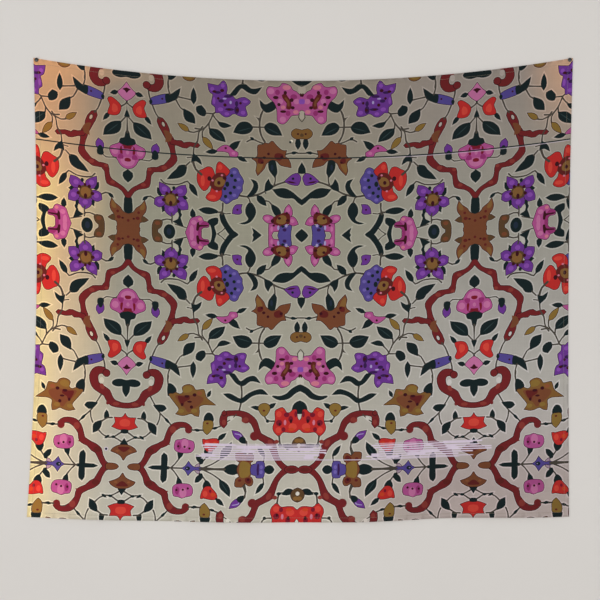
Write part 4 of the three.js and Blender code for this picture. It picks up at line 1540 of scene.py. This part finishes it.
def edge_print(places, faces, tops, table, edge):
    """How far round the edge each border point is, and the colour of the print that follows it."""
    border, turn = edge
    number = np.full(len(places), -1)
    number[border] = np.arange(len(border))
    colours = np.tile(table[-1], (len(border), 1))
    for corner in range(3):
        one, two = number[faces[:, corner]], number[faces[:, (corner + 1) % 3]]
        for first, second in ((one, two), (two, one)):
            step = (first >= 0) & (second >= 0) & ((first + 1) % len(border) == second)
            colours[first[step]] = table[tops[step]]
    return turn, colours


def hem_profile():
    """The fold of the hem from the printed face round to the stitched back: (from the edge, depth)."""
    s = sizes()
    radius = (s.front - s.hem_back) / 2 + 0.02 * MM
    middle = (s.front + s.hem_back) / 2
    line = [(EDGE_IN + 0.15 * MM, middle + radius)]
    for step in range(9):
        angle = math.pi / 2 + math.pi * step / 8
        line.append((EDGE_IN + radius * math.cos(angle), middle + radius * math.sin(angle)))
    low = s.hem_back
    inner = low + 1.2 * MM
    line += [(4.5 * MM, low - 0.05 * MM), (9 * MM, low - 0.08 * MM), (12.5 * MM, low),
             (s.seam, low + 0.18 * MM), (s.hem - 0.6 * MM, low + 0.02 * MM),
             (s.hem - 0.15 * MM, low + 0.2 * MM), (s.hem, low + 0.6 * MM),
             (s.hem - 0.15 * MM, inner - 0.15 * MM), (s.hem - 0.7 * MM, inner),
             (9 * MM, inner), (2 * MM, inner)]
    return line


def side_sizes(side):
    """The cloth's size along this side and its size at right angles to it."""
    s = sizes()
    return (s.width, s.height) if side in ("top", "bottom") else (s.height, s.width)


def place_on(side, at, part):
    """The place a share along this side and a share inwards from it."""
    places = {"top": (at, part), "bottom": (at, 1 - part), "left": (part, at), "right": (1 - part, at)}
    return places[side]


def make_hem(side, start, turn, colours):
    """One folded hem, mitred at its ends, with the print running over the fold."""
    hem_width = sizes().hem
    reach, other = side_sizes(side)
    kept = np.nonzero((turn >= start - 1e-9) & (turn <= start + 1 + 1e-9))[0]
    stations = list(turn[kept] - start)
    tones = list(colours[kept])
    if start == 3:
        stations.append(1.0)
        tones.append(tones[-1])
    profile = hem_profile()
    rows = []
    places = []
    for station in stations:
        room = min(station, 1 - station) * reach
        width = min(hem_width, max(room, 1.9 * MM))
        inset = EDGE_IN / reach
        at = inset + station * (1 - 2 * inset)
        if station < 1e-9:
            at = 0.0
        if station > 1 - 1e-9:
            at = 1.0
        if side in ("bottom", "left"):
            at = 1 - at
        for from_edge, depth in profile:
            if from_edge > FOLD_END:
                from_edge = FOLD_END + (from_edge - FOLD_END) * (width - FOLD_END) / (hem_width - FOLD_END)
            place = place_on(side, at, from_edge / other)
            places.append(place)
            rows.append(hang(*place, depth))
    points = np.array(rows)
    places = np.array(places)
    around = len(profile)
    faces, tints = [], []
    for row in range(len(stations) - 1):
        for step in range(around):
            after = (step + 1) % around
            faces.append((row * around + step, row * around + after,
                          (row + 1) * around + after, (row + 1) * around + step))
            tints.append(tones[row])
    faces.append(tuple(range(around))[::-1])
    faces.append(tuple((len(stations) - 1) * around + step for step in range(around)))
    tints += [tones[0], tones[-1]]
    hem = mesh_object("hem_fold_" + side, points, [tuple(map(int, face)) for face in faces],
                      material_for("hem_polyester"), np.array(tints), {"cloth_map": cloth_map(places)})
    face_outward(hem)
    return hem


def face_outward(obj):
    """Turns every face of a closed piece outwards."""
    work = bmesh.new()
    work.from_mesh(obj.data)
    bmesh.ops.recalc_face_normals(work, faces=work.faces)
    if work.calc_volume(signed=True) < 0:
        bmesh.ops.reverse_faces(work, faces=work.faces)
    work.to_mesh(obj.data)
    work.free()


# ---------------------------------------------------------------- stitches


def stitch_tree():
    """Stitches along a seam: a grain of thread at every pitch, turned along the seam with a little play."""
    if "seam_stitches" in bpy.data.node_groups:
        return bpy.data.node_groups["seam_stitches"]
    tree = bpy.data.node_groups.new("seam_stitches", "GeometryNodeTree")
    made = tree.interface.new_socket
    made("Seam", in_out="INPUT", socket_type="NodeSocketGeometry")
    for title, default in (("Pitch", 0.0032), ("Thread Width", 0.0007), ("Thread Height", 0.0004)):
        made(title, in_out="INPUT", socket_type="NodeSocketFloat").default_value = default
    made("Seed", in_out="INPUT", socket_type="NodeSocketInt").default_value = 1
    made("Thread", in_out="INPUT", socket_type="NodeSocketMaterial")
    made("Stitches", in_out="OUTPUT", socket_type="NodeSocketGeometry")
    n = Nodes(tree)
    entry, leave = n.add("NodeGroupInput"), n.add("NodeGroupOutput")
    seam = n.fed("GeometryNodeMeshToCurve", {0: entry.outputs["Seam"]})
    spaced = n.fed("GeometryNodeResampleCurve", {"Curve": seam.outputs[0],
        "Length": entry.outputs["Pitch"]}, mode="LENGTH")
    grain = n.fed("GeometryNodeMeshUVSphere", {"Segments": 8, "Rings": 5, "Radius": 0.5})
    size = n.fed("ShaderNodeCombineXYZ", {"X": n.times(entry.outputs["Pitch"], 0.86),
        "Y": entry.outputs["Thread Width"], "Z": entry.outputs["Thread Height"]})
    tangent = n.add("GeometryNodeInputTangent")
    turned = n.fed("FunctionNodeAlignRotationToVector", {
        "Vector": tangent.outputs[0]}, axis="X", pivot_axis="AUTO")
    upright = n.fed("FunctionNodeAlignRotationToVector", {"Rotation": turned.outputs[0],
        "Vector": (0.0, 1.0, 0.0)}, axis="Z", pivot_axis="X")
    play = n.fed("FunctionNodeRandomValue", {2: -0.09, 3: 0.09,
        "Seed": entry.outputs["Seed"]}, data_type="FLOAT")
    twist = n.fed("ShaderNodeCombineXYZ", {"Z": play.outputs[1]})
    loose = n.fed("FunctionNodeRotateRotation", {"Rotation": upright.outputs[0],
        "Rotate By": twist.outputs[0]}, rotation_space="LOCAL")
    placed = n.fed("GeometryNodeInstanceOnPoints", {"Points": spaced.outputs[0],
        "Instance": grain.outputs["Mesh"], "Rotation": loose.outputs[0], "Scale": size.outputs[0]})
    real = n.fed("GeometryNodeRealizeInstances", {0: placed.outputs[0]})
    painted = n.fed("GeometryNodeSetMaterial", {"Geometry": real.outputs[0],
        "Material": entry.outputs["Thread"]})
    n.put(leave.inputs["Stitches"], painted.outputs[0])
    return tree


def seam_path(side, low, high, depth):
    """Points along one seam of the hem, between two distances from the side's start."""
    reach, other = side_sizes(side)
    at = np.linspace(low / reach, high / reach, max(2, round((high - low) / (4 * MM))))
    part = np.full(len(at), sizes().seam / other)
    return hang(*place_on(side, at, part), depth)


def make_stitches(name, paths, seed):
    """One piece of stitching along its seam paths."""
    s = sizes()
    points, edges = [], []
    for path in paths:
        first = len(points)
        points += [tuple(place) for place in path]
        edges += [(first + step, first + step + 1) for step in range(len(path) - 1)]
    seam = bpy.data.meshes.new(name + "_seam")
    seam.from_pydata(points, edges, [])
    holder = in_scene(name + "_seam", seam)
    tree = stitch_tree()
    modifier = holder.modifiers.new("stitches", "NODES")
    modifier.node_group = tree
    keys = {item.name: item.identifier for item in tree.interface.items_tree if item.in_out == "INPUT"}
    modifier[keys["Pitch"]] = s.stitch
    modifier[keys["Thread Width"]] = s.thread
    modifier[keys["Thread Height"]] = 0.45 * MM
    modifier[keys["Seed"]] = seed
    modifier[keys["Thread"]] = material_for("spun_thread")
    bpy.context.view_layer.update()
    evaluated = holder.evaluated_get(bpy.context.evaluated_depsgraph_get())
    mesh = bpy.data.meshes.new_from_object(evaluated)
    mesh.name = name
    holder.modifiers.clear()
    bpy.data.objects.remove(holder)
    if not len(mesh.polygons):
        raise RuntimeError(name + " has no stitches")
    mesh.shade_smooth()
    return in_scene(name, mesh)


# ---------------------------------------------------------------- pins


def lathe(name, centre, profile, material, segments=64):
    """A turned piece round a level axis through the centre, from its (radius, distance from the wall)."""
    points, faces, rows = [], [], []
    for radius, depth in profile:
        if radius < 1e-7:
            rows.append([len(points)])
            points.append((centre.x, -depth, centre.z))
            continue
        rows.append(list(range(len(points), len(points) + segments)))
        for step in range(segments):
            angle = 2 * math.pi * step / segments
            points.append((centre.x + radius * math.cos(angle), -depth, centre.z + radius * math.sin(angle)))
    closed = rows if len(rows[0]) == 1 and len(rows[-1]) == 1 else rows + [rows[0]]
    for one, two in zip(closed, closed[1:]):
        for step in range(segments):
            after = (step + 1) % segments
            quad = [one[step % len(one)], one[after % len(one)], two[after % len(two)], two[step % len(two)]]
            face = tuple(dict.fromkeys(quad))
            if len(face) > 2:
                faces.append(face)
    obj = mesh_object(name, points, faces, material)
    face_outward(obj)
    return obj


def dome(radius, foot, rise, steps, whole):
    """Some steps of a quarter round from its top, where the radius is nothing, to its foot."""
    angles = [math.pi / 2 * step / whole for step in steps]
    return [(radius * math.sin(angle), foot + rise * math.cos(angle)) for angle in angles]


def make_pin(side):
    """A drawing pin: a domed enamelled cap with a rolled rim and a steel needle with its own flat head."""
    low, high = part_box("pin_cap_" + side)
    centre = (low + high) / 2
    radius = (high.x - low.x) / 2
    rim, apex = -high.y, -low.y
    wall, bead = 0.5 * MM, 0.55 * MM
    profile = dome(radius, rim + bead, apex - rim - bead, range(19), 18)
    profile += [(radius - 0.02 * MM, rim + 0.28 * MM), (radius - 0.12 * MM, rim + 0.08 * MM),
                (radius - 0.28 * MM, rim), (radius - 0.44 * MM, rim + 0.09 * MM),
                (radius - wall, rim + 0.3 * MM)]
    profile += dome(radius - wall, rim + bead, apex - rim - bead - wall, range(11, -1, -1), 12)
    cap = lathe("cap_" + side, centre, profile, material_for("cap_enamel"))
    needle_low, needle_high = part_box("pin_needle_" + side)
    head = (needle_high.x - needle_low.x) / 2
    shaft = 0.5 * MM
    front, point = -needle_low.y, -needle_high.y
    needle_profile = [(0.0, front), (head - 0.12 * MM, front), (head, front - 0.1 * MM),
                      (head, front - 0.3 * MM), (head - 0.12 * MM, front - 0.4 * MM),
                      (shaft + 0.15 * MM, front - 0.42 * MM),
                      (shaft, front - 0.6 * MM), (shaft, point + 2 * MM), (shaft * 0.55, point + 0.9 * MM),
                      (shaft * 0.16, point + 0.12 * MM), (0.0, point)]
    needle = lathe("needle_" + side, centre, needle_profile, material_for("drawn_steel"), 24)
    return cap, needle


# ---------------------------------------------------------------- operators


class HANGING_OT_stage(bpy.types.Operator):
    """Build the wall, the floor, the lights and the camera"""
    bl_idname = "hanging.stage"
    bl_label = "Stage"

    def execute(self, context):
        scene = context.scene
        scene.view_settings.view_transform = "Standard"
        wall_x, wall_z = 6.0, 5.0
        floor_z = -1.75
        wall = mesh_object("wall", [(-wall_x, 0.0004, floor_z), (wall_x, 0.0004, floor_z),
                                    (wall_x, 0.0004, wall_z), (-wall_x, 0.0004, wall_z)],
                           [(0, 1, 2, 3)], material_for("painted_plaster"), smooth=False)
        wall.visible_shadow = False
        wall.visible_diffuse = False
        floor = mesh_object("floor", [(-wall_x, -7.0, floor_z), (wall_x, -7.0, floor_z),
                                      (wall_x, 6.0, floor_z), (-wall_x, 6.0, floor_z)],
                            [(0, 1, 2, 3)], material_for("plain_floor"), smooth=False)
        world = bpy.data.worlds.new("soft_room")
        world.use_nodes = True
        world.node_tree.nodes["Background"].inputs[0].default_value = (1.0, 0.985, 0.965, 1.0)
        world.node_tree.nodes["Background"].inputs[1].default_value = 0.62
        scene.world = world
        soft_lamp("front_left", (-1.7, -3.2, -0.9), (-0.1, 0.0, -0.75), 2.6, 47)
        soft_lamp("front_right", (1.9, -3.2, -1.1), (0.1, 0.0, -0.75), 2.6, 37)
        soft_lamp("from_behind", (0.8, 3.0, 1.2), (0.0, 0.0, -0.6), 2.4, 30)
        data = bpy.data.cameras.new("viewer")
        camera = in_scene("viewer", data)
        away = 3.2
        span = 1.688
        data.sensor_width = 36.0
        data.lens = 36.0 * away / span
        camera.location = (-0.009, -away, -0.675)
        camera.rotation_euler = (math.pi / 2, 0.0, 0.0)
        scene.camera = camera
        return {"FINISHED"}


def soft_lamp(name, place, aim, size, power):
    """A large soft lamp aimed at the hanging."""
    data = bpy.data.lights.new(name, "AREA")
    data.shape = "SQUARE"
    data.size = size
    data.energy = power
    lamp = in_scene(name, data)
    lamp.location = place
    lamp.rotation_euler = (Vector(aim) - Vector(place)).to_track_quat("-Z", "Y").to_euler()


class HANGING_OT_cloth(bpy.types.Operator):
    """Build the printed panel and its four folded hems"""
    bl_idname = "hanging.cloth"
    bl_label = "Cloth and hems"

    def execute(self, context):
        panel, (turn, colours) = make_panel()
        for start, side in enumerate(("top", "right", "bottom", "left")):
            hem = make_hem(side, start, turn, colours)
            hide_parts("hem_" + side)
            hung_with_pins(hem)
        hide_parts("cloth_panel", "pinned_corner_left", "pinned_corner_right")
        hung_with_pins(panel)
        return {"FINISHED"}


class HANGING_OT_stitches(bpy.types.Operator):
    """Sew the seams of the hems, on the face and on the back, and the stitching of the pinned corners"""
    bl_idname = "hanging.stitches"
    bl_label = "Seam stitches"

    def execute(self, context):
        s = sizes()
        corner = s.corner
        face, back = s.front + 0.12 * MM, s.hem_back - 0.1 * MM
        seed = 1
        for title, depth in (("needle_thread_", face), ("bobbin_thread_", back)):
            for side in ("top", "bottom", "left", "right"):
                reach = side_sizes(side)[0]
                low = corner if side != "bottom" else s.seam
                high = reach - (corner if side == "top" else s.seam)
                piece = make_stitches("stitches_" + title + side, [seam_path(side, low, high, depth)], seed)
                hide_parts(title + side)
                hung_with_pins(piece)
                seed += 1
        for side in ("left", "right"):
            low, high = (s.seam, corner) if side == "left" else (s.width - corner, s.width - s.seam)
            paths = []
            for depth in (face, back):
                paths.append(seam_path("top", low, high, depth))
                paths.append(seam_path(side, s.seam, corner, depth))
            piece = make_stitches("stitches_corner_" + side, paths, seed)
            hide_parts("corner_stitching_" + side)
            hung_with_pins(piece)
            seed += 1
        return {"FINISHED"}


class HANGING_OT_pins(bpy.types.Operator):
    """Build the two drawing pins"""
    bl_idname = "hanging.pins"
    bl_label = "Drawing pins"

    def execute(self, context):
        for side in ("left", "right"):
            cap, needle = make_pin(side)
            finishes = ((cap, "pin_cap_", "black_enamel"), (needle, "pin_needle_", "needle_steel"))
            for piece, node, finish in finishes:
                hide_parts(node + side)
                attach(piece, "pin_" + side)
        return {"FINISHED"}


class HANGING_PT_panel(bpy.types.Panel):
    """Buttons that build each part of the wall hanging"""
    bl_label = "Wall Hanging"
    bl_idname = "HANGING_PT_panel"
    bl_space_type = "VIEW_3D"
    bl_region_type = "UI"
    bl_category = "Hanging"

    def draw(self, context):
        for operator in OPERATORS:
            self.layout.operator(operator.bl_idname, text=operator.bl_label)
        for group in (context.scene.hanging_sizes, context.scene.hanging_prints, context.scene.hanging_inks):
            box = self.layout.box()
            for name in group.bl_rna.properties.keys():
                if name not in ("rna_type", "name"):
                    box.prop(group, name)


OPERATORS = (HANGING_OT_stage, HANGING_OT_cloth, HANGING_OT_stitches, HANGING_OT_pins)
CLASSES = (HangingSizes, PrintSizes, PrintInks, *OPERATORS, HANGING_PT_panel)


def register():
    for item in CLASSES:
        bpy.utils.register_class(item)
    bpy.types.Scene.hanging_sizes = bpy.props.PointerProperty(type=HangingSizes)
    bpy.types.Scene.hanging_prints = bpy.props.PointerProperty(type=PrintSizes)
    bpy.types.Scene.hanging_inks = bpy.props.PointerProperty(type=PrintInks)


def unregister():
    del bpy.types.Scene.hanging_inks
    del bpy.types.Scene.hanging_prints
    del bpy.types.Scene.hanging_sizes
    for item in reversed(CLASSES):
        bpy.utils.unregister_class(item)


def build_hanging():
    """Builds the stage, the cloth, the stitches and the pins."""
    register()
    bpy.ops.hanging.stage()
    bpy.ops.hanging.cloth()
    bpy.ops.hanging.stitches()
    bpy.ops.hanging.pins()


if __name__ == "__main__":
    build_hanging()
